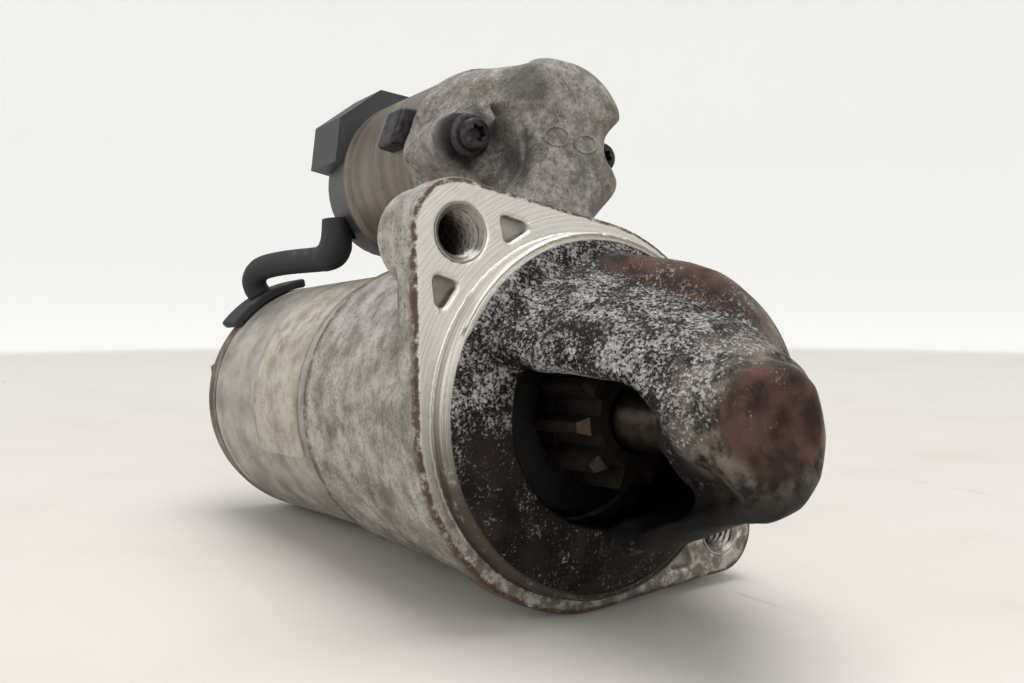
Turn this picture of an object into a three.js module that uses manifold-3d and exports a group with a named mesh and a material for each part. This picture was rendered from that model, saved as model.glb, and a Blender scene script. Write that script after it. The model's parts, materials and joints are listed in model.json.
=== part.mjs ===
// Starter motor: a planetary gear-reduction starter with a closed nose and a piggyback solenoid.
// Millimetres. Origin: centre of the flange's mounting face on the shaft axis.
// +X runs along the shaft towards the nose, +Z is up, and the flange's lower edge is parallel to Y.
// Parts that lie in the plane of both axes are drawn upright and leaned by LEAN about the shaft.
import * as THREE from "three";
import { mergeVertices } from "three/addons/utils/BufferGeometryUtils.js";
import Module from "manifold-3d";

const wasm = await Module();
wasm.setup();

// ---------- driving dimensions ----------
const GAP = 0.3; // between pieces that touch
const ROUND = 40; // facets of a large turned part
const SMALL = 16; // facets of a small turned part
const DEGREE = Math.PI / 180;

// Flange
const FLANGE_T = 7.3;
const FLANGE_R = 41.4;
const EAR_T = 16;
const EARS = [
  { y: -27.6, z: 39.2, r: 10.6 },
  { y: 35.8, z: -31.6, r: 9.9 },
];
const THREAD_R = 4.4; // M10 tapping size
const COUNTERSINK_R = 5.3;
const POCKETS = [
  [[-18.2, 42.5], [-10.4, 39.9], [-17.6, 36.5]],
  [[-34.5, 31.7], [-29.1, 29.7], [-34.2, 23.9]],
  [[26.8, -38.0], [25.0, -31.5], [18.2, -37.5]],
  [[40.6, -25.0], [35.6, -22.6], [39.6, -17.2]],
];
const POCKET_DEPTH = 5;
const SPIGOT_R = 38;
const SPIGOT_T = 4.6;

// Drive-end housing and nose
const BODY_END = -64.3; // where the yoke joins
const BODY_R = 37.2;
const CLUTCH_BORE_R = 22.6;
const CHAMBER_R = 31;
const GEAR_BORE_R = 33.1;
const NOSE_END = 57.5;
const HUB_R = 12.6;
const HUB_START = 35;
const BUSH_OUT_R = 7.7;
const BUSH_IN_R = 5.8;
const BUSH_END = 47;
const PINION_ROOM_R = 17.2;

// Yoke and rear cover
const YOKE_R = 35.4;
const YOKE_WALL = 3;
const YOKE_END = -136;
const REAR_END = -147.8;
const REAR_R = 34.1;

// Solenoid, in the leaned frame
const LEAN = -12.5 * DEGREE;
const AXES_APART = 62.5;
const CASE_R = 23;
const CASE_FRONT = -50.5;
const CASE_REAR = -88;
const CAP_R = 22.6;
const CAP_END = -107;
const NEAR_BOLT = { y: -20.6, z: -2.6, face: -26 }; // about the solenoid's own axis
const FAR_BOLT = { y: 20.6, z: 2.6, face: -32 };
const BOLTS = [NEAR_BOLT, FAR_BOLT];
const BOLT_BOSS_R = 6.4;
const PLUNGER_R = 11;

// Shift lever
const PIVOT_X = -35;
const PIVOT_Z = 36.5;
const LEVER_TILT = 11.3 * DEGREE;
const LEVER_TOP = AXES_APART - PIVOT_Z;
const FORK_X = PIVOT_X - PIVOT_Z * Math.sin(LEVER_TILT);

// Gears
const PRESSURE_ANGLE = 20 * DEGREE;
const SUN_TEETH = 12;
const PLANET_TEETH = 18;
const RING_TEETH = SUN_TEETH + 2 * PLANET_TEETH;
const GEAR_MODULE = 1;
const PLANET_COUNT = 3;
const PLANET_RADIUS = GEAR_MODULE * (SUN_TEETH + PLANET_TEETH) / 2;
const GEAR_BACK = -61.5;
const GEAR_FRONT = -53.5;
const PINION_TEETH = 10;
const PINION_MODULE = 2.5;
const PINION_TIP_R = 14.5;
const PINION_ROOT_R = 10.1;
const PINION_FRONT = 15.7;
const SHAFT_R = 6.4;
const SPLINE_R = 7.5;

// Armature
const ARMATURE_SLOTS = 20;
const CORE_R = 23.2;
const CORE = [-108, -74];
const THROUGH_BOLT_ANGLE = 158 * DEGREE;
const THROUGH_BOLT_AT_R = 29.2;
const THROUGH_BOLT_R = 2.4;

// ---------- materials ----------
function material(color, roughness, metalness) {
  return new THREE.MeshStandardMaterial({ color, roughness, metalness });
}
const CAST = material(0x9a958c, 0.7, 0.8);
const STEEL = material(0x8d8b88, 0.45, 1);
const RUSTY = material(0x6b4a36, 0.75, 0.6);
const DARK_STEEL = material(0x55504a, 0.6, 0.9);
const COPPER = material(0xb06a3b, 0.4, 1);
const BRASS = material(0xb59a5c, 0.4, 1);
const BRONZE = material(0x8c7348, 0.5, 1);
const RUBBER = material(0x1d1d1f, 0.85, 0);
const BLACK_PLASTIC = material(0x2b2b2d, 0.6, 0);
const WHITE_PLASTIC = material(0xc9c4b4, 0.6, 0);
const FERRITE = material(0x3a3a3c, 0.8, 0.2);
const CARBON = material(0x2a2622, 0.8, 0.3);
const PAPER = material(0xd9d2bf, 0.8, 0);

// ---------- making and joining solids ----------
function toSolid(geometry) {
  const bare = geometry.clone();
  bare.deleteAttribute("normal");
  bare.deleteAttribute("uv");
  const merged = mergeVertices(bare, 1e-4);
  const vertProperties = new Float32Array(merged.attributes.position.array);
  const triVerts = new Uint32Array(merged.index.array);
  return new wasm.Manifold(new wasm.Mesh({ numProp: 3, vertProperties, triVerts }));
}

function toGeometry(solid) {
  const mesh = solid.getMesh();
  const geometry = new THREE.BufferGeometry();
  geometry.setAttribute("position", new THREE.BufferAttribute(mesh.vertProperties, 3));
  geometry.setIndex(new THREE.BufferAttribute(mesh.triVerts, 1));
  geometry.computeVertexNormals();
  return geometry;
}

function union(...geometries) {
  return toGeometry(geometries.map(toSolid).reduce((a, b) => a.add(b)));
}

function cut(body, ...tools) {
  return toGeometry(tools.map(toSolid).reduce((a, b) => a.subtract(b), toSolid(body)));
}

function common(a, b) {
  return toGeometry(toSolid(a).intersect(toSolid(b)));
}

// Turned about the X axis from [x, radius] points, given in order of x along the outside.
function turned(points, facets = ROUND) {
  const profile = points.map(([x, r]) => new THREE.Vector2(r, x));
  return new THREE.LatheGeometry(profile, facets).rotateZ(-Math.PI / 2);
}

// Turned solid whose outline starts and ends on the axis.
function spun(points, facets = ROUND) {
  const first = [points[0][0], 0];
  const last = [points[points.length - 1][0], 0];
  return turned([first, ...points, last], facets);
}

// Turned ring whose outline closes on itself: the outside in order of x, then the bore backwards.
function ringTurned(points, facets = ROUND) {
  return turned([...points, points[0]], facets);
}

function rod(x0, x1, r, facets = SMALL) {
  return spun([[x0, r], [x1, r]], facets);
}

function tube(x0, x1, inner, outer, facets = ROUND) {
  return ringTurned([[x0, outer], [x1, outer], [x1, inner], [x0, inner]], facets);
}

// Shape in the YZ plane pushed along X.
const ALONG_X = new THREE.Matrix4().makeBasis(
  new THREE.Vector3(0, 1, 0),
  new THREE.Vector3(0, 0, 1),
  new THREE.Vector3(1, 0, 0),
);
function pushedX(shape, x0, x1, curveSegments = 8) {
  const options = { depth: x1 - x0, bevelEnabled: false, curveSegments };
  return new THREE.ExtrudeGeometry(shape, options).applyMatrix4(ALONG_X).translate(x0, 0, 0);
}

// Shape in the XZ plane pushed along Y.
function pushedY(shape, y0, y1) {
  const options = { depth: y1 - y0, bevelEnabled: false, curveSegments: 8 };
  return new THREE.ExtrudeGeometry(shape, options).rotateX(Math.PI / 2).translate(0, y1, 0);
}

// Shape in the XY plane pushed along Z.
function pushedZ(shape, z0, z1) {
  const options = { depth: z1 - z0, bevelEnabled: false, curveSegments: 8 };
  return new THREE.ExtrudeGeometry(shape, options).translate(0, 0, z0);
}

function outline(points) {
  return new THREE.Shape(points.map(([a, b]) => new THREE.Vector2(a, b)));
}

function block(x0, x1, y0, y1, z0, z1) {
  const box = new THREE.BoxGeometry(x1 - x0, y1 - y0, z1 - z0);
  return box.translate((x0 + x1) / 2, (y0 + y1) / 2, (z0 + z1) / 2);
}

function leaned(geometry) {
  return geometry.rotateX(LEAN);
}

function crossRod(x, z, r, y0, y1, facets = SMALL) {
  return new THREE.CylinderGeometry(r, r, y1 - y0, facets).translate(x, (y0 + y1) / 2, z);
}

// Convex outline around circles {y, z, r}.
function hullOutline(circles, steps = 40) {
  const points = [];
  for (const c of circles) {
    for (let i = 0; i < steps; i++) {
      const a = 2 * Math.PI * i / steps;
      points.push([c.y + c.r * Math.cos(a), c.z + c.r * Math.sin(a)]);
    }
  }
  points.sort((p, q) => p[0] - q[0] || p[1] - q[1]);
  const turn = (o, a, b) => (a[0] - o[0]) * (b[1] - o[1]) - (a[1] - o[1]) * (b[0] - o[0]);
  const half = (list) => {
    const chain = [];
    for (const p of list) {
      while (chain.length > 1 && turn(chain[chain.length - 2], chain[chain.length - 1], p) <= 1e-6) {
        chain.pop();
      }
      chain.push(p);
    }
    return chain.slice(0, -1);
  };
  return outline([...half(points), ...half([...points].reverse())]);
}

// A triangle with rounded corners.
function roundedTriangle(corners, radius) {
  const shape = new THREE.Shape();
  const v = corners.map(([a, b]) => new THREE.Vector2(a, b));
  for (let i = 0; i < 3; i++) {
    const before = v[(i + 2) % 3];
    const here = v[i];
    const after = v[(i + 1) % 3];
    const start = here.clone().add(before.clone().sub(here).setLength(radius));
    const end = here.clone().add(after.clone().sub(here).setLength(radius));
    if (i === 0) shape.moveTo(start.x, start.y);
    else shape.lineTo(start.x, start.y);
    shape.quadraticCurveTo(here.x, here.y, end.x, end.y);
  }
  shape.closePath();
  return shape;
}

// A round or oval bar bent along a curve.
function bent(points, width, height, sides, steps) {
  const section = new THREE.Shape();
  for (let i = 0; i < sides; i++) {
    const a = 2 * Math.PI * (i + 0.5) / sides;
    const x = width / 2 * Math.cos(a);
    const y = height / 2 * Math.sin(a);
    if (i === 0) section.moveTo(x, y);
    else section.lineTo(x, y);
  }
  section.closePath();
  const path = new THREE.CatmullRomCurve3(points.map((p) => new THREE.Vector3(...p)));
  return new THREE.ExtrudeGeometry(section, { steps, bevelEnabled: false, extrudePath: path });
}

// A coil spring around the X axis.
class Helix extends THREE.Curve {
  constructor(x0, x1, radius, turns) {
    super();
    Object.assign(this, { x0, x1, radius, turns });
  }
  getPoint(t, target = new THREE.Vector3()) {
    const a = 2 * Math.PI * this.turns * t;
    const x = this.x0 + (this.x1 - this.x0) * t;
    return target.set(x, this.radius * Math.cos(a), this.radius * Math.sin(a));
  }
}

function coilSpring(x0, x1, radius, wireRadius, turns, stepsPerTurn = 10) {
  const section = new THREE.Shape();
  section.absarc(0, 0, wireRadius, 0, 2 * Math.PI);
  const path = new Helix(x0 + wireRadius, x1 - wireRadius, radius, turns);
  const steps = Math.round(turns * stepsPerTurn);
  const options = { steps, bevelEnabled: false, extrudePath: path, curveSegments: 3 };
  return new THREE.ExtrudeGeometry(section, options);
}

// ---------- gears ----------
function involute(angle) {
  return Math.tan(angle) - angle;
}

// Half the angle that an involute tooth covers at radius r. slack is the backlash at the pitch circle.
function halfTooth(r, teeth, module, slack) {
  const pitchR = module * teeth / 2;
  const baseR = pitchR * Math.cos(PRESSURE_ANGLE);
  const at = Math.acos(Math.min(1, baseR / Math.max(r, baseR)));
  return (Math.PI / 2) / teeth - slack / (2 * pitchR) + involute(PRESSURE_ANGLE) - involute(at);
}

// Gear outline with a tooth centred on angle phase. A negative slack draws the gap of a ring gear.
function gearOutline(teeth, module, rootR, tipR, slack, phase = 0, samples = 4) {
  const points = [];
  for (let i = 0; i < teeth; i++) {
    const middle = phase + 2 * Math.PI * i / teeth;
    const flank = [];
    for (let k = 0; k < samples; k++) {
      const r = rootR + (tipR - rootR) * k / (samples - 1);
      flank.push([r, halfTooth(r, teeth, module, slack)]);
    }
    for (const [r, h] of flank) points.push([r * Math.cos(middle - h), r * Math.sin(middle - h)]);
    for (const [r, h] of flank.reverse()) points.push([r * Math.cos(middle + h), r * Math.sin(middle + h)]);
  }
  return outline(points);
}

// ---------- assembly ----------
const starter = new THREE.Group();
const upright = new THREE.Group();
upright.rotation.x = LEAN;
starter.add(upright);

function add(name, geometry, look, group = starter) {
  const mesh = new THREE.Mesh(geometry, look);
  mesh.name = name;
  group.add(mesh);
  return mesh;
}

// ---------- drive-end housing ----------
// The nose: a cone and a hood round the pinion, an arm that carries the shaft's front bearing,
// and a window on the ring gear's side.
function noseSolid() {
  const cone = spun([
    [-1, 36.4], [4.6, 36.4], [6.5, 34], [11, 30.6], [20, 26], [30, 22], [40, 18], [47, 15],
  ], 36);
  const hood = spun([
    [-1, 34], [6, 34], [14, 32.4], [24, 31], [30, 29.6], [35, 26.4], [38.6, 21.5], [40.5, 15],
  ], 36);
  const hoodSide = block(-2, 60, -60, 60, -8, 60).rotateX(-35 * DEGREE);
  const tipShape = outline([
    [-13.6, -5], [-12.6, 6], [-9, 11.4], [-2, 12.2], [2.4, 10.4], [5.2, 6], [5.8, -3],
    [4.2, -10], [0, -15], [-6, -15.6], [-11, -12],
  ]);
  const tipCone = spun([[36, 30], [46, 22], [52, 16.6], [56, 12], [NOSE_END, 8.6]], 24)
    .translate(0, -3.6, -1.5);
  const dish = spun([[NOSE_END - 1.6, 3], [NOSE_END - 1.2, 5.6], [NOSE_END + 1, 8.4]], 24)
    .translate(0, -3.6, -0.6);
  const tip = cut(common(pushedX(tipShape, 38, NOSE_END), tipCone), dish);
  const sideCut = pushedZ(outline([
    [5.4, -60], [60, -60], [60, -13], [52, -14], [46, -15.6], [38, -18.6], [30, -20.6],
    [22, -21], [14, -23], [8, -27.6], [5.4, -34],
  ]), -60, 60);
  const shell = cut(union(cone, common(hood, hoodSide)), sideCut);
  const rim = outline([
    [5.4, -60], [5.4, 40], [9, 20], [17.6, 10.8], [25.3, 9.4], [29.6, 7], [33.5, 3.4],
    [36.5, -0.8], [38.2, -3.5], [41.3, -4.7], [47.5, -6.5], [50.5, -9.6], [43.6, -13.3],
    [34.7, -15.9], [33, -20], [32, -60],
  ]);
  const opening = pushedX(outline([
    [0, 0], [-14.6, 11.4], [-20, 11.5], [-26, 14], [-34, 19], [-60, 34], [-60, -60],
    [-20, -60], [-12, -34], [-7, -19], [0, -13],
  ]), 5.4, 34);
  const window = common(opening, pushedY(rim, -70, 10));
  const recess = pushedY(rim, -60, -9.5);
  const hub = rod(HUB_START, 50, HUB_R, 32);
  const room = spun([
    [-2, CLUTCH_BORE_R], [12, CLUTCH_BORE_R], [17, 19.2], [24, PINION_ROOM_R],
    [HUB_START - 1.5, PINION_ROOM_R], [HUB_START, 15.5],
  ], 32);
  return union(cut(union(shell, tip), window, recess, room), cut(hub, sideCut));
}

function leverHousing() {
  const dome = spun([
    [-50.2, 23.6], [-44, 23.4], [-34, 22], [-20, 20.2], [-16.5, 18.8], [-14.2, 15.8], [-13, 10.5],
  ], 32).translate(0, 0, AXES_APART);
  const behind = pushedX(outline([[-19, 30], [19, 30], [13, 50], [-13, 50]]), -48, -20);
  const neck = pushedX(outline([[-14, 30], [9, 30], [9, 52], [-14, 52]]), -22, -13.4);
  const foot = pushedX(outline([[-14, 30], [9, 30], [8, 42], [-14, 42]]), -22, -6);
  const bosses = BOLTS.map((bolt) =>
    rod(-50.2, bolt.face, BOLT_BOSS_R, 20).translate(0, bolt.y, AXES_APART + bolt.z));
  return leaned(union(dome, behind, neck, foot, ...bosses));
}

function leverHousingHollows() {
  const plungerRoom = rod(-60, -19, 12.4, SMALL).translate(0, 0, AXES_APART);
  const leverSlot = block(-47.5, -22.5, -6, 6, 20, AXES_APART);
  const pivotHole = crossRod(PIVOT_X, PIVOT_Z, 3.3, -12.5, 12.5);
  const boltHoles = BOLTS.flatMap((bolt) => [
    rod(-60, -20, 3, SMALL).translate(0, bolt.y, AXES_APART + bolt.z),
    rod(bolt.face, 0, 5.9, SMALL).translate(0, bolt.y, AXES_APART + bolt.z),
  ]);
  return [plungerRoom, leverSlot, pivotHole, ...boltHoles].map(leaned);
}

function driveHousing() {
  const flange = pushedX(hullOutline([{ y: 0, z: 0, r: FLANGE_R }, ...EARS], 48), -FLANGE_T, 0);
  const earBlocks = EARS.map((ear) =>
    pushedX(hullOutline([ear, { y: ear.y * 0.6, z: ear.z * 0.6, r: ear.r }], 20), -EAR_T, -1));
  const body = spun([[BODY_END, BODY_R], [-40, 38], [-20, 39.2], [-6, 40.4]], 48);
  const spigot = spun([[-1, SPIGOT_R], [SPIGOT_T - 0.8, SPIGOT_R], [SPIGOT_T, SPIGOT_R - 0.8]], 48);
  const boltBosses = throughBoltPlaces().map(([y, z]) => rod(-51.3, -38, 5.6).translate(0, y, z));
  const outer = union(flange, ...earBlocks, body, spigot, leverHousing());
  const hollow = spun([
    [BODY_END - 1, GEAR_BORE_R], [-51.3, GEAR_BORE_R], [-51.3, CHAMBER_R], [-14, CHAMBER_R],
    [-9, CLUTCH_BORE_R], [6, CLUTCH_BORE_R],
  ]);
  const holes = EARS.flatMap((ear) => [
    rod(-EAR_T - 2, 1, THREAD_R).translate(0, ear.y, ear.z),
    spun([[-0.9, THREAD_R - 0.1], [0.1, COUNTERSINK_R]], SMALL).translate(0, ear.y, ear.z),
  ]);
  const pockets = POCKETS.map((p) => pushedX(roundedTriangle(p, 1.6), -POCKET_DEPTH, 1, 3));
  const notch = block(-59, -47, -3, 3, BODY_R - 3.2, BODY_R + 4)
    .rotateX(THROUGH_BOLT_ANGLE - Math.PI / 2);
  const shaped = cut(outer, hollow, ...leverHousingHollows(), ...holes, ...pockets, notch);
  const bush = rod(0, BUSH_END + GAP, BUSH_OUT_R + GAP);
  const bored = cut(union(shaped, noseSolid(), ...boltBosses), bush);
  return cut(bored, ...throughBoltHoles(-60, -38.6));
}

function throughBoltPlaces() {
  return [0, Math.PI].map((half) => [
    THROUGH_BOLT_AT_R * Math.cos(THROUGH_BOLT_ANGLE + half),
    THROUGH_BOLT_AT_R * Math.sin(THROUGH_BOLT_ANGLE + half),
  ]);
}

function throughBoltHoles(x0, x1) {
  return throughBoltPlaces().map(([y, z]) => rod(x0, x1, THROUGH_BOLT_R + GAP, 16).translate(0, y, z));
}

add("drive_housing", driveHousing(), CAST);
add("nose_bush", tube(HUB_START, BUSH_END, BUSH_IN_R, BUSH_OUT_R, SMALL), BRONZE);

// ---------- yoke, rear cover and what closes them ----------
const yokeInner = YOKE_R - YOKE_WALL;
add("yoke", tube(YOKE_END, BODY_END - GAP, yokeInner, YOKE_R), STEEL);

function rearCover() {
  const end = YOKE_END - GAP;
  const shell = ringTurned([
    [REAR_END, 31.5], [REAR_END + 1.6, REAR_R], [-141, 34.8], [end, YOKE_R],
    [end, yokeInner], [-144.6, yokeInner - 1.5], [-144.6, 9.5], [-135.5, 9.5],
    [-135.5, 6.5], [REAR_END, 6.5],
  ]);
  return cut(shell, ...throughBoltHoles(REAR_END - 1, -130));
}
add("rear_cover", rearCover(), DARK_STEEL);
add("rear_bush", tube(-146.6, -136, 5.2 + GAP / 2, 6.2, SMALL), BRONZE);

// The two long bolts that clamp the rear cover and yoke to the housing.
function throughBolts() {
  return throughBoltPlaces().map(([y, z]) => {
    const shank = rod(-146, -40, THROUGH_BOLT_R, 16);
    const head = rod(REAR_END - GAP - 3.4, REAR_END - GAP, 4.2, 6);
    const neck = rod(REAR_END - GAP - 1, -140, THROUGH_BOLT_R, 16);
    return union(shank, neck, head).translate(0, y, z);
  });
}
const [boltA, boltB] = throughBolts();
add("through_bolt_upper", boltA, STEEL);
add("through_bolt_lower", boltB, STEEL);

function yokeLabel() {
  const shape = new THREE.Shape();
  const from = 112 * DEGREE;
  const to = 196 * DEGREE;
  shape.absarc(0, 0, YOKE_R + 0.5, from, to, false);
  shape.absarc(0, 0, YOKE_R + GAP, to, from, true);
  shape.closePath();
  return pushedX(shape, -103, -72, 16);
}
add("yoke_label", yokeLabel(), PAPER);

// ---------- motor lead: rubber grommet, lead and boot ----------
const LEAD_ANGLE = 116 * DEGREE;
function leadGrommet() {
  const shape = new THREE.Shape();
  const from = 96 * DEGREE;
  const to = 137 * DEGREE;
  shape.absarc(0, 0, YOKE_R + 3, from, to, false);
  shape.absarc(0, 0, YOKE_R + GAP, to, from, true);
  shape.closePath();
  return pushedX(shape, -146, -133, 10);
}
add("lead_grommet", leadGrommet(), RUBBER);

const leadFootR = YOKE_R + 3 + GAP;
const leadFoot = [-140, leadFootR * Math.cos(LEAD_ANGLE), leadFootR * Math.sin(LEAD_ANGLE)];
const LEAD_PATH = [
  leadFoot,
  [-140.1, -17.9, 36.8],
  [-139.3, -18.3, 39],
  [-136.8, -17.8, 41.2],
  [-132.6, -16.6, 42.4],
  [-124, -13.8, 42.8],
  [-115, -10.6, 42.6],
  [-109, -8.6, 42.4],
  [-105, -8.2, 42.4],
];
add("motor_lead", bent(LEAD_PATH, 6.6, 7, 10, 20), RUBBER);

function leadBoot() {
  const shape = outline([[-104.6, 38.8], [-94.4, 39.6], [-94, 53], [-103.8, 54], [-104.7, 47]]);
  return cut(
    pushedY(shape, -12, -3),
    leaned(rod(CAP_END - 1, CASE_REAR, CAP_R + GAP, ROUND).translate(0, 0, AXES_APART)),
    block(-102.6, -96.6, -8.6, -2, 44.4, 56),
  );
}
add("lead_boot", leadBoot(), RUBBER);

// ---------- solenoid, drawn about the shaft axis and lifted to its own ----------
const solenoid = new THREE.Group();
solenoid.position.z = AXES_APART;
upright.add(solenoid);

function solenoidCase() {
  const can = ringTurned([
    [CASE_REAR, CASE_R], [CASE_FRONT, CASE_R], [CASE_FRONT, PLUNGER_R + 0.6],
    [CASE_FRONT - 2.2, PLUNGER_R + 0.6], [CASE_FRONT - 2.2, CASE_R - 1.7], [CASE_REAR, CASE_R - 1.7],
  ]);
  const ears = pushedX(
    hullOutline(BOLTS.map((bolt) => ({ ...bolt, r: BOLT_BOSS_R })), 20),
    CASE_FRONT - 6.5,
    CASE_FRONT,
  );
  const opening = union(rod(-60, CASE_FRONT - 2.2, CASE_R - 1.7), rod(-60, -40, PLUNGER_R + 0.6));
  const threads = BOLTS.map((bolt) =>
    rod(CASE_FRONT - 2.5, -40, 2.9, 12).translate(0, bolt.y, bolt.z));
  return cut(union(can, cut(ears, opening)), ...threads);
}
add("solenoid_case", solenoidCase(), DARK_STEEL, solenoid);

function solenoidBolt(bolt) {
  const shank = rod(-52.6, bolt.face + 1, 2.5, 12);
  const head = rod(bolt.face + GAP, bolt.face + 4, 4.8, 6);
  return union(shank, head).translate(0, bolt.y, bolt.z);
}
add("solenoid_bolt_near", solenoidBolt(NEAR_BOLT), DARK_STEEL, solenoid);
add("solenoid_bolt_far", solenoidBolt(FAR_BOLT), DARK_STEEL, solenoid);

const BOBBIN_IN_R = PLUNGER_R + 0.4;
const BOBBIN_OUT_R = BOBBIN_IN_R + 0.9;
const COIL_OUT_R = CASE_R - 1.7 - GAP - 0.3;
add("coil_bobbin", ringTurned([
  [-84, COIL_OUT_R], [-82.5, COIL_OUT_R], [-82.5, BOBBIN_OUT_R], [-54.7, BOBBIN_OUT_R],
  [-54.7, COIL_OUT_R], [-53.1, COIL_OUT_R], [-53.1, BOBBIN_IN_R], [-84, BOBBIN_IN_R],
], 32), WHITE_PLASTIC, solenoid);
add("solenoid_coil", tube(-82.2, -55, BOBBIN_OUT_R + GAP, COIL_OUT_R, 32), COPPER, solenoid);

const CORE_BORE_R = 2.4;
add("fixed_core", ringTurned([
  [-88, CASE_R - 2.1], [-84.4, CASE_R - 2.1], [-84.4, PLUNGER_R - 0.2], [-76, PLUNGER_R - 0.2],
  [-76, CORE_BORE_R], [-88, CORE_BORE_R],
], 32), DARK_STEEL, solenoid);

const PLUNGER_REAR = -64;
const SLOT_X = PIVOT_X + LEVER_TOP * Math.sin(LEVER_TILT);
function plunger() {
  const body = spun([
    [PLUNGER_REAR, PLUNGER_R], [-50, PLUNGER_R], [-48, 8.4], [-25, 8.4], [-23.6, 7],
  ]);
  const recess = rod(PLUNGER_REAR - 1, -54, 8);
  const slot = block(SLOT_X - 3.6, SLOT_X + 3.6, -3.6, 3.6, -12, 4.4);
  return cut(body, recess, slot);
}
add("plunger", plunger(), STEEL, solenoid);
add("return_spring", coilSpring(-75.6, -54.4, 6.2, 0.7, 6, 8), STEEL, solenoid);

const CONTACT_V = 9.5;
function contactBridge() {
  const bar = block(-94, -92, -15, 15, -4.5, 4.5);
  return cut(bar, rod(-96, -90, 2.2, 16));
}
add("contact_bridge", contactBridge(), COPPER, solenoid);
add("contact_rod", rod(-98, -62, 1.9, 12), BRASS, solenoid);
add("contact_spring", coilSpring(-103.6, -94.4, 3.4, 0.5, 4, 8), STEEL, solenoid);

const CAP_START = CASE_REAR - GAP;
const SOCKET_ANGLE = 42 * DEGREE;
const CONNECTOR = [[0, 26], [-12.5, 25.6], [-24, 14.6], [-24, 2], [-14, 2], [-5, 12], [0, 18]];
function solenoidCap() {
  const cup = ringTurned([
    [CAP_END, CAP_R - 1.5], [CAP_END + 1.5, CAP_R], [CAP_START, CAP_R], [CAP_START, CAP_R - 2],
    [CAP_END + 3, CAP_R - 2], [CAP_END + 3, 1.6], [CAP_END, 1.6],
  ]);
  const plug = spun([[CAP_END, 2.6], [CAP_END + 3, 2.6]], 12);
  const connector = cut(pushedX(outline(CONNECTOR), -108.5, -91.5), rod(-120, -80, CAP_R - 1, ROUND));
  const socket = block(-109, -96, -4.2, 4.2, 23.5, 26.5).rotateX(SOCKET_ANGLE);
  const studHole = rod(-112, -100, 4.3).translate(0, CONTACT_V, 0);
  const strapSlot = block(-102, -97.2, -17.4, -12.4, -21, -11.5);
  return cut(union(cup, plug, connector), socket, studHole, strapSlot);
}
add("solenoid_cap", solenoidCap(), BLACK_PLASTIC, solenoid);
add("control_terminal", block(-106.5, -96.3, -3.1, 3.1, 24.6, 25.4).rotateX(SOCKET_ANGLE), BRASS, solenoid);

function batteryStud() {
  const head = block(-100, -96.6, -5, 5, -5, 5);
  return union(head, rod(-122, -99, 4, SMALL)).translate(0, CONTACT_V, 0);
}
add("battery_stud", batteryStud(), COPPER, solenoid);
add("battery_washer", tube(CAP_END - GAP - 1.4, CAP_END - GAP, 4.3, 8, SMALL)
  .translate(0, CONTACT_V, 0), STEEL, solenoid);
function batteryNut() {
  const hex = rod(-115.2, CAP_END - 2 * GAP - 1.4, 7.5, 6);
  return cut(hex, rod(-130, -100, 4.3, SMALL)).translate(0, CONTACT_V, 0);
}
add("battery_nut", batteryNut(), STEEL, solenoid);

// Copper strap from the motor contact, through the cap's wall, into the lead's boot.
function motorTerminal() {
  const head = block(-100, -96.6, -CONTACT_V - 5, -CONTACT_V + 4, -5, 5);
  const strap = block(-100, -98.6, -16.4, -13.4, -19.6, 3);
  return union(head, strap);
}
add("motor_terminal", motorTerminal(), COPPER, solenoid);

// ---------- shift lever ----------
function shiftLever() {
  const tongue = crossRod(0, LEVER_TOP, 3.1, -3, 3, 16);
  const stem = block(-1.5, 1.5, -3, 3, 0, LEVER_TOP);
  const eye = crossRod(0, 0, 5.6, -5.4, 5.4);
  const neck = block(-2.4, 2.4, -5, 5, -14, 0);
  const bridge = block(-2.4, 2.4, -17.2, 17.2, -16.5, -11.5);
  const arms = [[-17.2, -14.8], [14.8, 17.2]].map(([y0, y1]) =>
    block(-2.2, 2.2, y0, y1, -PIVOT_Z - 3, -12));
  const fingers = [[-16, -12.4], [12.4, 16]].map(([y0, y1]) =>
    crossRod(0, -PIVOT_Z, 1.9, y0, y1, 12));
  const whole = union(tongue, stem, eye, neck, bridge, ...arms, ...fingers);
  return cut(whole, crossRod(0, 0, 3.3, -10, 10));
}
const lever = add("shift_lever", shiftLever(), WHITE_PLASTIC, upright);
lever.position.set(PIVOT_X, 0, PIVOT_Z);
lever.rotation.y = LEVER_TILT;
add("lever_pin", crossRod(PIVOT_X, PIVOT_Z, 3, -12.2, 12.2), STEEL, upright);

// ---------- drive: spline sleeve with clutch, collar, pinion ----------
const SLEEVE_BORE_R = SPLINE_R + 0.4;
const SHELL_IN_R = 15.1;
add("clutch_shell", ringTurned([
  [-46.4, 9.8], [-23, 9.8], [-23, 20], [-21.5, 21.5], [-5, 21.5], [-4, 20.5],
  [-4, 11.2], [-6, 11.2], [-6, SHELL_IN_R], [-20.5, SHELL_IN_R], [-20.5, SLEEVE_BORE_R],
  [-46.4, SLEEVE_BORE_R],
]), STEEL);

add("operating_collar", ringTurned([
  [FORK_X - 3.9, 14.2], [FORK_X - 2.4, 14.2], [FORK_X - 2.4, 12], [FORK_X + 2.4, 12],
  [FORK_X + 2.4, 14.2], [FORK_X + 3.9, 14.2], [FORK_X + 3.9, 10.1], [FORK_X - 3.9, 10.1],
], 32), WHITE_PLASTIC);
add("meshing_spring", coilSpring(FORK_X + 4.2, -23.3, 11.6, 0.9, 3, 12), STEEL);

function clutchRollers() {
  const count = 5;
  const rollers = [];
  for (let i = 0; i < count; i++) {
    rollers.push(rod(-19.6, -7, 2, 12).translate(0, 12.8, 0).rotateX(2 * Math.PI * i / count));
  }
  return rollers;
}
clutchRollers().forEach((roller, i) => add(`clutch_roller_${i + 1}`, roller, STEEL));

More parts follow.
